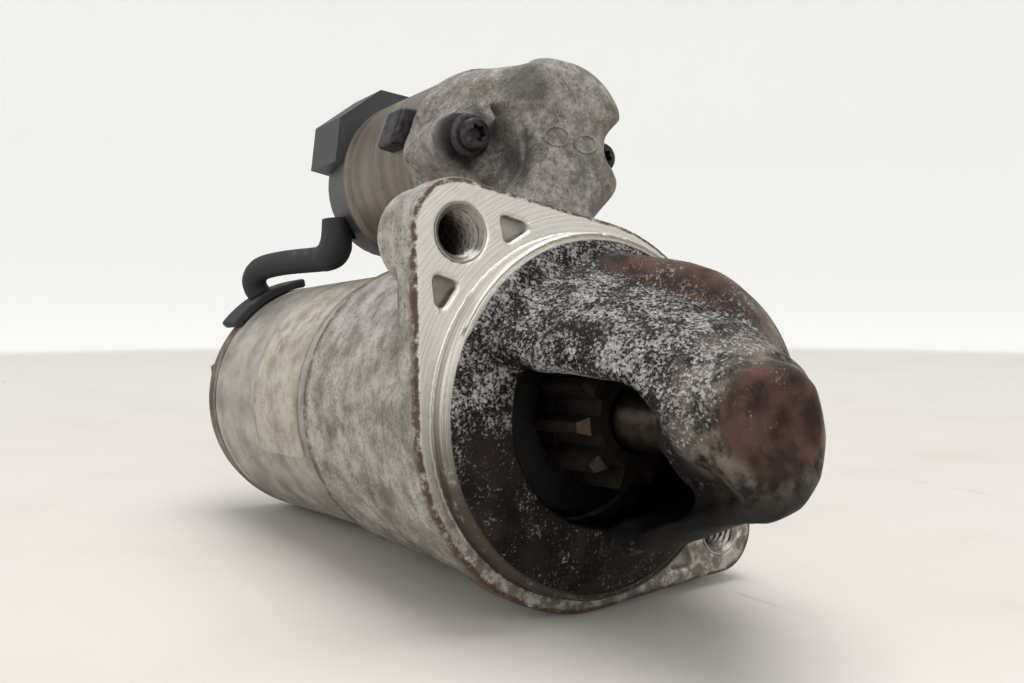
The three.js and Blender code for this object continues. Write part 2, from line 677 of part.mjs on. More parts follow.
function pinion() {
  const flanks = gearOutline(PINION_TEETH, PINION_MODULE, PINION_ROOT_R, PINION_TIP_R, 0.2, 0, 3);
  const teeth = pushedX(flanks, 0, PINION_FRONT);
  const chamfer = spun([[0, PINION_TIP_R + 1], [PINION_FRONT - 2.4, PINION_TIP_R + 1], [PINION_FRONT, 12.4]]);
  const race = rod(-20.2, 0.5, 10.5, 40);
  const bore = rod(-30, 20, SHAFT_R + 0.5, 32);
  const mouth = spun([[PINION_FRONT - 0.8, SHAFT_R + 0.4], [PINION_FRONT + 0.1, 7.6]], 32);
  return cut(union(common(teeth, chamfer), race), bore, mouth);
}
add("pinion", pinion(), RUSTY);

// ---------- output shaft with its planet carrier ----------
function driveShaft() {
  const shaft = spun([
    [-52.6, 20.6], [-49.2, 20.6], [-49.2, SPLINE_R], [-21, SPLINE_R], [-20.9, SHAFT_R],
    [34, SHAFT_R], [34.1, 5.5], [BUSH_END - 1, 5.5], [BUSH_END - 0.2, 4.8],
  ], 32);
  const pins = [];
  for (let i = 0; i < PLANET_COUNT; i++) {
    pins.push(rod(GEAR_BACK, -52, 2.9, 16).translate(0, PLANET_RADIUS, 0)
      .rotateX(2 * Math.PI * i / PLANET_COUNT));
  }
  return cut(union(shaft, ...pins), rod(-60, -43, 4, SMALL));
}
add("drive_shaft", driveShaft(), STEEL);
add("stop_collar", tube(30.4, 32.4, SHAFT_R + GAP, 9.4, SMALL), RUSTY);
add("snap_ring", tube(32.7, 33.7, SHAFT_R + GAP, 8.4, SMALL), STEEL);

// ---------- planetary reduction ----------
function ringGear() {
  const body = rod(-62.2, -51.8, GEAR_BORE_R - GAP, 40);
  const gaps = gearOutline(RING_TEETH, GEAR_MODULE, 23.1, 25.1, -0.2, Math.PI / RING_TEETH, 2);
  return cut(body, pushedX(gaps, -70, -50), ...throughBoltHoles(-70, -50));
}
add("ring_gear", ringGear(), WHITE_PLASTIC);

function centrePlate() {
  const disc = rod(-64.2, -62.5, GEAR_BORE_R - GAP, 40);
  return cut(disc, rod(-70, -50, 7.4), ...throughBoltHoles(-70, -50));
}
add("centre_plate", centrePlate(), STEEL);

function planet(place) {
  const phase = place + Math.PI / PLANET_TEETH;
  const teeth = gearOutline(PLANET_TEETH, GEAR_MODULE, 7.8, 9.8, 0.2, phase, 2);
  const gear = cut(pushedX(teeth, GEAR_BACK, GEAR_FRONT), rod(-70, -50, 3.3, 16));
  return gear.translate(0, PLANET_RADIUS * Math.cos(place), PLANET_RADIUS * Math.sin(place));
}
for (let i = 0; i < PLANET_COUNT; i++) {
  add(`planet_gear_${i + 1}`, planet(2 * Math.PI * i / PLANET_COUNT), STEEL);
}

// ---------- armature ----------
function armatureShaft() {
  const shaft = spun([
    [-144, 4.8], [-143.6, 5.2], [-66, 5.2], [-66, 4.9], [-53.4, 4.9], [-53.2, 3.6], [-43.4, 3.6],
  ]);
  const sun = pushedX(gearOutline(SUN_TEETH, GEAR_MODULE, 4.8, 6.8, 0.2, 0, 3), -66, GEAR_FRONT + 0.3);
  return union(shaft, sun);
}
add("armature_shaft", armatureShaft(), STEEL);

function slotBars(x0, x1, halfWidth, inner, outer) {
  const bars = [];
  for (let i = 0; i < ARMATURE_SLOTS; i++) {
    bars.push(block(x0, x1, -halfWidth, halfWidth, inner, outer).rotateX(2 * Math.PI * i / ARMATURE_SLOTS));
  }
  return bars;
}
function armatureCore() {
  return cut(tube(CORE[0], CORE[1], 5.5, CORE_R), ...slotBars(CORE[0] - 1, CORE[1] + 1, 1.7, 13.6, 30));
}
add("armature_core", armatureCore(), DARK_STEEL);

function armatureWindings() {
  const rear = ringTurned([
    [-119.6, 11], [-116, 16], [CORE[0] - 2, 21.5], [CORE[0] - GAP, 21.5], [CORE[0] - GAP, 8], [-119.6, 8],
  ], 24);
  const front = ringTurned([
    [CORE[1] + GAP, 21.5], [CORE[1] + 3, 21.5], [-68.4, 16], [-68.4, 9], [CORE[1] + GAP, 9],
  ], 24);
  const bars = common(
    tube(CORE[0] - 1, CORE[1] + 1, 14, 21.4, ARMATURE_SLOTS),
    slotBars(CORE[0] - 1, CORE[1] + 1, 1.35, 12, 30).reduce((a, b) => union(a, b)),
  );
  return union(rear, front, bars);
}
add("armature_windings", armatureWindings(), COPPER);

function commutator() {
  const grooves = slotBars(-140, -120.4, 0.3, 12.4, 20);
  return cut(tube(-131.5, -120, 5.5, 13), ...grooves);
}
add("commutator", commutator(), COPPER);

// ---------- magnets ----------
function magnet(middle) {
  const half = 33 * DEGREE;
  const shape = new THREE.Shape();
  shape.absarc(0, 0, yokeInner - GAP, middle - half, middle + half, false);
  shape.absarc(0, 0, CORE_R + 1, middle + half, middle - half, true);
  shape.closePath();
  return pushedX(shape, -112, -70.5, 10);
}
for (let i = 0; i < 4; i++) {
  add(`magnet_${i + 1}`, magnet(THROUGH_BOLT_ANGLE + Math.PI / 4 + i * Math.PI / 2), FERRITE);
}

// ---------- brush gear ----------
const BRUSH_X = [-130.5, -122.5];
function aroundBrushes(make) {
  return [0, 1, 2, 3].map((i) => make().rotateX(THROUGH_BOLT_ANGLE + Math.PI / 4 + i * Math.PI / 2));
}
function brushPlate() {
  const disc = tube(-134.4, -132.6, 14.5, yokeInner - 0.6);
  const boxes = aroundBrushes(() => cut(
    block(-133, -121, 15, 27, -5.6, 5.6),
    block(-131.8, -121.6, 14, 26, -4, 4),
    block(-131.8, -110, 14, 26, -4, 4),
  ));
  return cut(union(disc, ...boxes), ...throughBoltHoles(-140, -125));
}
add("brush_plate", brushPlate(), STEEL);
aroundBrushes(() => cut(block(BRUSH_X[0], BRUSH_X[1], 12.9, 20.6, -3.7, 3.7), rod(-140, -110, 13.3, ROUND)))
  .forEach((brush, i) => add(`brush_${i + 1}`, brush, CARBON));

export default starter;
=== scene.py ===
"""Starter motor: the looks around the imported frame. Shapes are in millimetres, in the row frame."""

import json
from math import cos, hypot, pi, radians, sin

import bmesh
import bpy
import numpy as np
import openvdb
from mathutils import Matrix, Vector
from mathutils.bvhtree import BVHTree


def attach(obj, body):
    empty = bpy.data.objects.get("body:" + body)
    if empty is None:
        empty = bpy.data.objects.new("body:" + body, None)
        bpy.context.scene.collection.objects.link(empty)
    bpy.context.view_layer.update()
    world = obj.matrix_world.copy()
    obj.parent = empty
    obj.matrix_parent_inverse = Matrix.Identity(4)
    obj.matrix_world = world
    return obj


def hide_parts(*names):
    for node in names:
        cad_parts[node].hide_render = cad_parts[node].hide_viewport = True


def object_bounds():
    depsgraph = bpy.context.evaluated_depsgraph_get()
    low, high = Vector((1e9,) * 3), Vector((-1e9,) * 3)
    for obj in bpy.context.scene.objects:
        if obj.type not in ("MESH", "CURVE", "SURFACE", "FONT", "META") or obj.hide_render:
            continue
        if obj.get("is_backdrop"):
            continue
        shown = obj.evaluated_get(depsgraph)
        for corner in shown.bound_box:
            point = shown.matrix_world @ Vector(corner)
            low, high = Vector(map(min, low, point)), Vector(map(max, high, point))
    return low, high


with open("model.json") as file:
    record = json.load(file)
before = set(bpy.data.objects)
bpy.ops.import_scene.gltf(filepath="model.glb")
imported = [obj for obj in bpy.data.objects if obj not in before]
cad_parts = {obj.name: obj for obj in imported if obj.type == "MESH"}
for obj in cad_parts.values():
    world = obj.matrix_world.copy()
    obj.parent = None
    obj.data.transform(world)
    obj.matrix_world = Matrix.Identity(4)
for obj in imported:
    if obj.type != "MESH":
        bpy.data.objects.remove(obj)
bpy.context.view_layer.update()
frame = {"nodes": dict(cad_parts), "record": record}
nodes = frame["nodes"]

# ---------- driving dimensions, as in the CAD ----------
MM = 0.001
LEAN = radians(-12.5)
AXES_APART = 62.5
FLANGE_R = 41.4
FLANGE_T = 7.3
SPIGOT_R = 38.0
EARS = [(-27.6, 39.2, 10.6), (35.8, -31.6, 9.9)]
EAR_T = 16.0
THREAD_R = 5.0
THREAD_PITCH = 1.5
POCKETS = [
    [(-18.2, 42.5), (-10.4, 39.9), (-17.6, 36.5)],
    [(-34.5, 31.7), (-29.1, 29.7), (-34.2, 23.9)],
    [(26.8, -38.0), (25.0, -31.5), (18.2, -37.5)],
    [(40.6, -25.0), (35.6, -22.6), (39.6, -17.2)],
]
POCKET_DEPTH = 3.2
EAR_HOLE_R = 5.75
HEAD_ROOM_R = 6.3
WALL_GLOW = 0.30
FLOOR_GLOW = 0.24
BODY_END = -64.3
NEAR_BOLT = (-20.6, -2.6, -26.0)
FAR_BOLT = (20.6, 2.6, -32.0)
NOSE_END = 57.5
# The window's edge is drawn on the plane y = RIM_Y and narrows towards the inside, away from EYE.
EYE = (164.7, -130.4, 24.8)
RIM_Y = -20.0
WINDOW_RIM = [
    (-60, 80), (-20, 40), (-4, 24), (6, 14.5), (11.3, 12), (18.2, 11.9), (27.5, 10.5), (34.7, 9.7),
    (38.7, 7.9), (42.3, 4.8), (45.1, 0.9), (46.7, -1.6), (49.7, -2.7), (55.4, -4.3), (59.4, -7.2),
    (51.8, -10.7), (43.5, -13.1), (36, -16), (33, -30), (30, -80), (-60, -80),
]
YOKE_R = 35.4
YOKE_END = -136.0
REAR_END = -147.8
CASE_R = 23.0
CASE_FRONT = -50.5
CASE_REAR = -88.0
CAP_R = 22.6
CAP_END = -107.0
FLOOR_TILT = radians(2.85)
FLOOR_ROLL = radians(-4.1)
FLOOR_FRONT = -41.7
CAST_STEP = 0.5


# ---------- camera, light and floor ----------
def make_camera():
    data = bpy.data.cameras.new("camera")
    data.sensor_width = 36
    data.lens = 35.16
    camera = bpy.data.objects.new("camera", data)
    right = Vector((0.5644, 0.8210, -0.0867))
    forward = Vector((-0.8253, 0.5633, -0.0385))
    up = right.cross(forward).normalized()
    turn = Matrix((right.normalized(), up, -forward.normalized())).transposed()
    camera.matrix_world = Matrix.Translation(Vector((164.66, -130.36, 24.77)) * MM) @ turn.to_4x4()
    bpy.context.scene.collection.objects.link(camera)
    bpy.context.scene.camera = camera


def area_light(name, place, target, size, watts, color):
    data = bpy.data.lights.new(name, "AREA")
    data.shape = "DISK"
    data.size = size
    data.energy = watts
    data.color = color
    light = bpy.data.objects.new(name, data)
    light.location = place
    light.rotation_mode = "QUATERNION"
    light.rotation_quaternion = (Vector(target) - Vector(place)).to_track_quat("-Z", "Y")
    bpy.context.scene.collection.objects.link(light)


def make_lights():
    bpy.context.scene.view_settings.view_transform = "Standard"
    world = bpy.data.worlds.new("world")
    bpy.context.scene.world = world
    world.use_nodes = True
    background = world.node_tree.nodes["Background"]
    background.inputs["Color"].default_value = (0.93, 0.95, 1.0, 1)
    background.inputs["Strength"].default_value = 0.45
    middle = (-0.04, 0, 0.01)
    area_light("top_light", (0.05, 0.1, 0.75), middle, 0.7, 6.0, (1, 0.99, 0.975))
    area_light("front_light", (0.75, -0.1, 0.45), middle, 0.6, 2.0, (1, 0.985, 0.97))
    area_light("side_light", (-0.15, -0.75, 0.35), middle, 0.6, 1.6, (0.97, 0.985, 1))


def make_floor():
    """A pale bowl: flat under the part, curving up far out to a plain wall."""
    profile = [(0, 0), (0.3, 0), (0.6, 0), (0.8, 0.01), (1.0, 0.05), (1.2, 0.14), (1.35, 0.28),
               (1.42, 0.5), (1.45, 0.9)]
    steps = 96
    angles = [2 * pi * i / steps for i in range(steps)]
    points = [(r * cos(a), r * sin(a), z) for r, z in profile[1:] for a in angles]
    points.append((0, 0, 0))
    faces = [(i, (i + 1) % steps, len(points) - 1) for i in range(steps)]
    for ring in range(len(profile) - 2):
        for i in range(steps):
            a = ring * steps + i
            b = ring * steps + (i + 1) % steps
            faces.append((a, a + steps, b + steps, b))
    mesh = bpy.data.meshes.new("floor")
    mesh.from_pydata(points, [], faces)
    mesh.shade_smooth()
    floor = bpy.data.objects.new("floor", mesh)
    floor.rotation_euler = (FLOOR_ROLL, FLOOR_TILT, 0)
    floor.location = floor.rotation_euler.to_matrix() @ Vector((0, 0, FLOOR_FRONT * MM))
    bpy.context.scene.collection.objects.link(floor)
    mesh.materials.append(floor_look())
    floor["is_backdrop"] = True


# ---------- materials ----------
def linear(*screen):
    """A colour given in screen values from 0 to 255."""
    shares = [v / 255 for v in screen]
    return tuple(v / 12.92 if v * 255 <= 10 else ((v + 0.055) / 1.055) ** 2.4 for v in shares) + (1,)


class Look:
    """One procedural material, built from object coordinates, which are the row frame's metres."""

    def __init__(self, name):
        self.material = bpy.data.materials.new(name)
        self.material.use_nodes = True
        self.tree = self.material.node_tree
        self.surface = self.tree.nodes["Principled BSDF"]
        coordinates = self.tree.nodes.new("ShaderNodeTexCoord")
        self.place = coordinates.outputs["Object"]
        self.x, self.y, self.z = self.parts(self.place)
        self.facing = self.parts(coordinates.outputs["Normal"])

    def parts(self, vector):
        node = self.tree.nodes.new("ShaderNodeSeparateXYZ")
        self.tree.links.new(vector, node.inputs[0])
        return node.outputs[0], node.outputs[1], node.outputs[2]

    def put(self, socket, value):
        if isinstance(value, bpy.types.NodeSocket):
            self.tree.links.new(value, socket)
        else:
            socket.default_value = value

    def calc(self, operation, *values):
        node = self.tree.nodes.new("ShaderNodeMath")
        node.operation = operation
        for socket, value in zip(node.inputs, values):
            self.put(socket, value)
        return node.outputs[0]

    def add(self, a, b):
        return self.calc("ADD", a, b)

    def less(self, a, b):
        return self.calc("SUBTRACT", a, b)

    def times(self, first, *others):
        for other in others:
            first = self.calc("MULTIPLY", first, other)
        return first

    def stretched(self, x, y, z):
        node = self.tree.nodes.new("ShaderNodeMapping")
        self.tree.links.new(self.place, node.inputs["Vector"])
        node.inputs["Scale"].default_value = (x, y, z)
        return node.outputs[0]

    def slanted(self, degrees):
        """Coordinates stretched along a line at that angle in the YZ plane, for cutter marks."""
        node = self.tree.nodes.new("ShaderNodeMapping")
        node.vector_type = "TEXTURE"
        self.tree.links.new(self.place, node.inputs["Vector"])
        node.inputs["Rotation"].default_value = (radians(degrees), 0, 0)
        node.inputs["Scale"].default_value = (1, 14, 1)
        return node.outputs[0]

    def measure(self, name):
        """A measure stored on the mesh."""
        node = self.tree.nodes.new("ShaderNodeAttribute")
        node.attribute_name = name
        return node.outputs["Fac"]

    def noise(self, size, detail=4, rough=0.6, where=None, offset=0.0):
        """Soft noise from 0 to 1 whose blotches are about size millimetres across."""
        node = self.tree.nodes.new("ShaderNodeTexNoise")
        node.noise_dimensions = "4D"
        self.tree.links.new(where or self.place, node.inputs["Vector"])
        node.inputs["W"].default_value = offset
        node.inputs["Scale"].default_value = 1 / (size * MM)
        node.inputs["Detail"].default_value = detail
        node.inputs["Roughness"].default_value = rough
        return node.outputs["Fac"]

    def band(self, value, low, high):
        """0 below low, 1 above high, smooth between. low may be above high."""
        node = self.tree.nodes.new("ShaderNodeMapRange")
        node.interpolation_type = "SMOOTHSTEP"
        self.put(node.inputs["Value"], value)
        self.put(node.inputs["From Min"], low)
        self.put(node.inputs["From Max"], high)
        return node.outputs[0]

    def patches(self, size, detail, rough, low, high, offset=0.0):
        """Patches of 1 among 0, where noise is above high and below low."""
        return self.band(self.noise(size, detail, rough, offset=offset), low, high)

    def mix(self, share, a, b):
        node = self.tree.nodes.new("ShaderNodeMix")
        node.data_type = "RGBA"
        self.put(node.inputs["Factor"], share)
        self.put(node.inputs[6], a)
        self.put(node.inputs[7], b)
        return node.outputs[2]

    def tinted(self, color, tint, *masks):
        """A colour with a tint over it, as much as the product of the masks."""
        return self.mix(self.times(*masks), color, linear(*tint))

    def blend(self, share, a, b):
        """A number between a and b."""
        node = self.tree.nodes.new("ShaderNodeMix")
        node.data_type = "FLOAT"
        self.put(node.inputs[0], share)
        self.put(node.inputs[2], a)
        self.put(node.inputs[3], b)
        return node.outputs[0]

    def turned_place(self):
        """Coordinates in which noise draws rings round the shaft."""
        node = self.tree.nodes.new("ShaderNodeCombineXYZ")
        self.put(node.inputs[0], self.radius(self.y, self.z))
        self.put(node.inputs[1], self.x)
        return node.outputs[0]

    def radius(self, y, z):
        return self.calc("SQRT", self.add(self.times(y, y), self.times(z, z)))

    def near(self, point, low, high):
        """1 closer than low millimetres to a point, 0 beyond high."""
        node = self.tree.nodes.new("ShaderNodeVectorMath")
        node.operation = "DISTANCE"
        self.tree.links.new(self.place, node.inputs[0])
        node.inputs[1].default_value = Vector(point) * MM
        return self.band(node.outputs["Value"], high * MM, low * MM)

    def finish(self, color, rough, metal, height, depth):
        """depth is the bump's depth in millimetres where height goes from 0 to 1."""
        self.put(self.surface.inputs["Base Color"], color)
        self.put(self.surface.inputs["Roughness"], rough)
        self.put(self.surface.inputs["Metallic"], metal)
        bump = self.tree.nodes.new("ShaderNodeBump")
        bump.inputs["Strength"].default_value = 1.0
        bump.inputs["Distance"].default_value = depth * MM
        self.put(bump.inputs["Height"], height)
        self.tree.links.new(bump.outputs[0], self.surface.inputs["Normal"])
        return self.material


def floor_look():
    """Pale studio floor with faint stains, and a wall that glows a little."""
    look = Look("floor_paint")
    stains = look.times(look.patches(60, 6, 0.65, 0.45, 0.75), 0.5)
    color = look.mix(stains, linear(206, 200, 194), linear(194, 187, 179))
    marks = look.noise(8, 2, 0.5, look.stretched(0.12, 1, 1))
    color = look.tinted(color, (150, 141, 131), look.band(marks, 0.70, 0.74), 0.3)
    wall = look.band(look.z, 0.016, 0.022)
    far = look.band(look.radius(look.x, look.y), 0.15, 0.80)
    color = look.tinted(color, (232, 231, 227), wall)
    glow = look.blend(wall, look.times(far, FLOOR_GLOW), WALL_GLOW)
    look.put(look.surface.inputs["Emission Color"], linear(232, 232, 229))
    look.put(look.surface.inputs["Emission Strength"], glow)
    return look.finish(color, 0.6, 0.0, look.noise(3, 3), 0.02)


class CastLook(Look):
    """The casting: bare body, greyer dome, corroded nose, machined face and register."""

    def __init__(self):
        super().__init__("cast_aluminium")
        self.r = self.radius(self.y, self.z)
        self.wobble = self.less(self.noise(2.2, 4, 0.65), 0.5)
        self.fine = self.noise(0.8, 5, 0.78)
        self.grit = self.noise(0.45, 4, 0.8, offset=21.0)
        self.blotch = self.noise(7, 6, 0.7)
        self.crystals = self.noise(0.62, 6, 0.8, offset=7.0)
        self.hollow = self.measure("hollow")
        uneven = self.less(self.noise(5, 5, 0.7, offset=30.0), 0.5)
        # hollow paints shade into concave places; uneven adds grime patches
        self.grime_and_hollow_shade = self.add(self.hollow, self.times(uneven, 1.1))
        self.marks = self.noise(0.35, 3, 0.6, self.slanted(35))
        self.on_face = self.add(self.measure("outline"), self.times(self.wobble, 1.4))
        # where the pinion room's inside is; painted near black as shade
        room_r = self.add(self.r, self.times(self.band(self.x, 0.012, 0.022), 0.004))
        self.in_room = self.times(self.band(room_r, 0.0236, 0.0222), self.band(self.x, 0.036, 0.034))
        self.is_nose = self.times(self.band(self.add(self.x, self.times(self.wobble, 0.001)), 0.0, 0.0005),
                                  self.band(self.r, 0.0367, 0.0362))

    def body(self):
        """Cast metal with dirt in its grain, grime patches and painted shade in its hollows, and rust next
        to the joint.
        """
        color = self.mix(self.band(self.blotch, 0.35, 0.65), linear(124, 119, 110), linear(180, 176, 169))
        color = self.tinted(color, (70, 62, 53), self.band(self.fine, 0.50, 0.62), 0.6)
        color = self.tinted(color, (196, 192, 186), self.band(self.grit, 0.56, 0.66), 0.55)
        color = self.tinted(color, (78, 64, 50), self.patches(14, 5, 0.7, 0.50, 0.68, 8.0), 0.75)
        streak = self.band(self.noise(4, 5, 0.65, self.stretched(1, 0.6, 0.2)), 0.56, 0.68)
        color = self.tinted(color, (96, 68, 45), streak, 0.55)
        below = self.band(self.z, -0.004, -0.034)
        color = self.tinted(color, (84, 76, 62), below, self.patches(6, 6, 0.7, 0.36, 0.58, 15.0), 0.75)
        # painted shade in the hollows, broken up by grime patches
        color = self.tinted(color, (50, 43, 36), self.band(self.grime_and_hollow_shade, 0.25, 0.7), 0.7)
        joint = self.times(self.band(self.x, -0.0600, -0.0632), self.patches(3, 5, 0.7, 0.35, 0.55, 33.0))
        return self.tinted(color, (84, 52, 32), joint, 0.85)

    def dome(self):
        """Darker grey metal with oil round the near bolt, painted shade in its hollows and in the valleys
        above and below that bolt, and traces of green and blue.
        """
        mottled = self.patches(3, 6, 0.75, 0.36, 0.64, 5.0)
        color = self.mix(mottled, linear(98, 92, 85), linear(152, 147, 141))
        color = self.tinted(color, (56, 50, 45), self.band(self.fine, 0.50, 0.62), 0.6)
        color = self.tinted(color, (182, 177, 171), self.band(self.grit, 0.55, 0.63), 0.6)
        color = self.tinted(color, (86, 68, 54), self.patches(10, 5, 0.6, 0.5, 0.66, 2.0), 0.5)
        # strong painted shade in the dome's hollows and valleys, broken up by grime patches
        color = self.tinted(color, (36, 32, 29), self.band(self.grime_and_hollow_shade, 0.10, 0.62), 0.85)
        for tint, share, place, inner, outer, patches in (
            ((26, 24, 23), 0.9, (-25, -8.2, 63.2), 5.6, 9.5, (4, 4, 0.6, 0.22, 0.45, 6.0)),
            # this entry and the next: dark smear and painted shade in the valleys above and below the near
            # bolt
            ((46, 42, 38), 0.7, (-17, 3, 73.4), 3.5, 9.0, (5, 4, 0.6, 0.30, 0.50, 6.5)),
            ((40, 37, 34), 0.75, (-20.6, 1.4, 56.4), 2.0, 6.5, (4, 4, 0.6, 0.30, 0.50, 7.5)),
            ((58, 100, 80), 0.55, (-13.3, 14.5, 53.5), 1.2, 4.4, (2.4, 4, 0.6, 0.46, 0.56, 9.0)),
            ((52, 56, 118), 0.6, (-34.5, -8.5, 63.3), 0.4, 2.4, (1.5, 3, 0.6, 0.42, 0.56, 4.0)),
        ):
            stain_and_valley_shade = self.times(self.near(place, inner, outer), self.patches(*patches))
            color = self.tinted(color, tint, stain_and_valley_shade, share)
        return color

    def nose(self):
        """Black to reddish brown under white corrosion, which is thickest on the arm. Inside the pinion room
        and under the nose it is painted near black, as shade.
        Also returns where the white is."""
        on_disc = self.near((58, -6.4, 2.6), 9.0, 11.5)
        is_hood = self.band(self.add(self.measure("seam"), self.times(self.wobble, 3.0)), 0.8, -0.8)
        reddish = self.calc("MAXIMUM", self.times(is_hood, self.band(self.z, -0.004, 0.006)), on_disc)
        deep = self.patches(8, 5, 0.6, 0.38, 0.62, 1.0)
        color = self.mix(reddish, self.mix(deep, linear(15, 13, 12), linear(38, 31, 27)),
                         self.mix(deep, linear(44, 30, 26), linear(84, 60, 50)))
        far_side = self.times(self.band(self.x, 0.020, 0.032), self.band(self.y, 0.006, 0.020))
        dusty = self.calc("MAXIMUM", self.band(self.x, 0.038, 0.048), far_side)
        dusty = self.times(dusty, self.patches(5, 5, 0.65, 0.38, 0.60, 19.0), self.less(1.0, on_disc))
        color = self.tinted(color, (132, 119, 106), dusty, 0.75)

        amount = self.blend(self.band(self.z, -0.012, 0.012), 0.45, 0.80)
        tip = self.band(self.add(self.x, self.times(self.wobble, 0.006)), 0.044, 0.056)
        amount = self.less(amount, self.times(tip, 0.5))
        amount = self.less(amount, self.times(is_hood, 0.22))
        # less white in the hollows: painted shade
        amount = self.less(amount, self.times(self.band(self.hollow, 0.15, 0.6), 0.25))
        amount = self.add(amount, self.times(self.less(self.noise(6, 5, 0.65, offset=11.0), 0.5), 2.0))
        level = self.blend(amount, 0.66, 0.43)
        white = self.band(self.crystals, level, self.add(level, 0.07))
        powder = self.mix(self.band(self.grit, 0.3, 0.7), linear(112, 107, 104), linear(198, 194, 191))
        color = self.mix(self.times(white, 0.85), color, powder)

        worn_rim = self.times(self.band(self.measure("edge"), 0.35, 0.75), self.band(self.x, 0.010, 0.014),
                              self.patches(3, 4, 0.7, 0.42, 0.6, 40.0))
        color = self.tinted(color, (150, 142, 132), worn_rim, 0.45)
        # painted shade: near black inside the pinion room and under the lower nose
        under = self.times(self.band(self.z, -0.002, -0.014), self.band(self.r, 0.030, 0.022),
                           self.band(self.x, 0.009, 0.013))
        inside = self.calc("MAXIMUM", self.in_room, under)
        return self.tinted(color, (9, 8, 7), inside, 0.97), white

    def face(self):
        """Machined flange face with slanted cutter marks, darker in patches at its foot."""
        color = self.mix(self.band(self.marks, 0.3, 0.7), linear(208, 204, 196), linear(228, 225, 219))
        color = self.tinted(color, (160, 146, 126), self.patches(9, 5, 0.65, 0.52, 0.72, 12.0), 0.45)
        darker_low = self.times(self.band(self.z, 0.002, -0.026), self.patches(3.5, 6, 0.75, 0.42, 0.56, 17.0))
        return self.tinted(color, (92, 80, 64), darker_low, 0.8)

    def register(self):
        """The turned register, darker in blotches on its lower half."""
        rings = self.noise(0.35, 2, 0.5, self.turned_place())
        color = self.mix(self.band(rings, 0.35, 0.65), linear(174, 169, 160), linear(224, 221, 215))
        darker_low = self.times(self.band(self.z, 0.020, -0.014), self.band(self.blotch, 0.25, 0.46))
        return self.tinted(color, (58, 50, 40), darker_low, 0.95)

    def pocket(self):
        """The cast floor of a flange pocket."""
        return self.mix(self.band(self.blotch, 0.35, 0.65), linear(150, 142, 132), linear(190, 184, 176))

    def finished(self):
        """Lays the parts of the casting over each other and finishes the material."""
        w = self.add(self.times(self.z, cos(LEAN)), self.times(self.y, -sin(LEAN)))
        is_dome = self.times(self.band(w, 0.040, 0.046), self.band(self.x, -0.004, -0.0075))
        from_pocket = self.measure("pocket")
        is_face = self.times(self.band(self.x, -0.0007, -0.0003), self.band(self.r, 0.0379, 0.0381),
                             self.band(self.on_face, -0.25, -0.75), self.band(from_pocket, -0.1, 0.35))
        is_register = self.times(self.band(self.x, -0.0002, 0.0002), self.band(self.r, 0.0361, 0.0365))
        in_pocket = self.times(self.band(from_pocket, 0.5, 0.0), self.band(self.x, -0.0065, -0.0055))
        nose, white = self.nose()
        color = self.mix(is_dome, self.body(), self.dome())
        color = self.mix(self.is_nose, color, nose)
        color = self.mix(in_pocket, color, self.pocket())
        color = self.mix(is_face, color, self.face())
        color = self.mix(is_register, color, self.register())

        near_edge = self.band(self.calc("ABSOLUTE", self.add(self.on_face, 0.35)), 0.75, 0.25)
        rust = self.times(near_edge, self.band(self.x, -0.0026, -0.0010),
                          self.patches(2, 5, 0.7, 0.36, 0.52, 14.0))
        color = self.tinted(color, (72, 46, 26), rust, 0.9)
        # painted shade: the inside of the bore, near black
        painted_shade_cavity = self.times(self.in_room, self.band(self.x, -0.0050, -0.0042))
        color = self.tinted(color, (9, 8, 7), painted_shade_cavity, 0.98)

        bare = self.calc("MAXIMUM", is_face, is_register)
        self.put(self.surface.inputs["Specular IOR Level"], self.blend(self.is_nose, 0.4, 0.12))
        cast_rough = self.blend(self.is_nose, 0.68, self.blend(white, 0.5, 0.85))
        rough = self.blend(bare, cast_rough, self.blend(self.marks, 0.36, 0.46))
        metal = self.blend(bare, self.blend(self.is_nose, 0.3, 0.0), 0.8)
        grain = self.blend(self.is_nose, self.add(self.times(self.fine, 0.6), self.times(self.grit, 0.35)),
                           self.add(self.times(self.crystals, 0.6), self.times(white, 0.35)))
        height = self.blend(bare, grain, self.times(self.marks, 0.02))
        return self.finish(color, rough, metal, height, 0.36)


def metal_look(name, light, dark, rough, metal, rust=0.0, size=3.0):
    """Worked steel: two tones, fine grain, and rust where rust is above 0."""
    look = Look(name)
    tone = look.patches(size, 5, 0.65, 0.35, 0.65)
    fine = look.noise(size * 0.18, 4, 0.7)
    color = look.mix(tone, linear(*dark), linear(*light))
    color = look.tinted(color, [v * 0.6 for v in dark], look.band(fine, 0.5, 0.7), 0.35)
    is_rusty = look.times(look.patches(size * 1.7, 6, 0.7, 0.62 - 0.3 * rust, 0.74 - 0.3 * rust, 5.0), rust)
    color = look.mix(is_rusty, color, look.mix(fine, linear(62, 36, 22), linear(128, 78, 46)))
    roughness = look.blend(is_rusty, look.blend(tone, rough + 0.1, rough), 0.85)
    return look.finish(color, roughness, look.blend(is_rusty, metal, 0.1), look.add(fine, is_rusty), 0.05)


def moulded_look(name, color, rough, dust):
    """Moulded plastic or rubber with scuffs and dust."""
    look = Look(name)
    fine = look.noise(0.5, 4, 0.6)
    scuff = look.patches(4, 6, 0.7, 0.52, 0.72)
    darker, lighter = ([min(255, v * share) for v in color] for share in (0.8, 1.2))
    tone = look.mix(look.noise(8, 3), linear(*darker), linear(*lighter))
    tone = look.tinted(tone, (150, 143, 133), scuff, look.band(look.facing[2], -0.2, 0.9), dust)
    return look.finish(tone, look.blend(scuff, rough, min(1.0, rough + 0.2)), 0.0, fine, 0.05)


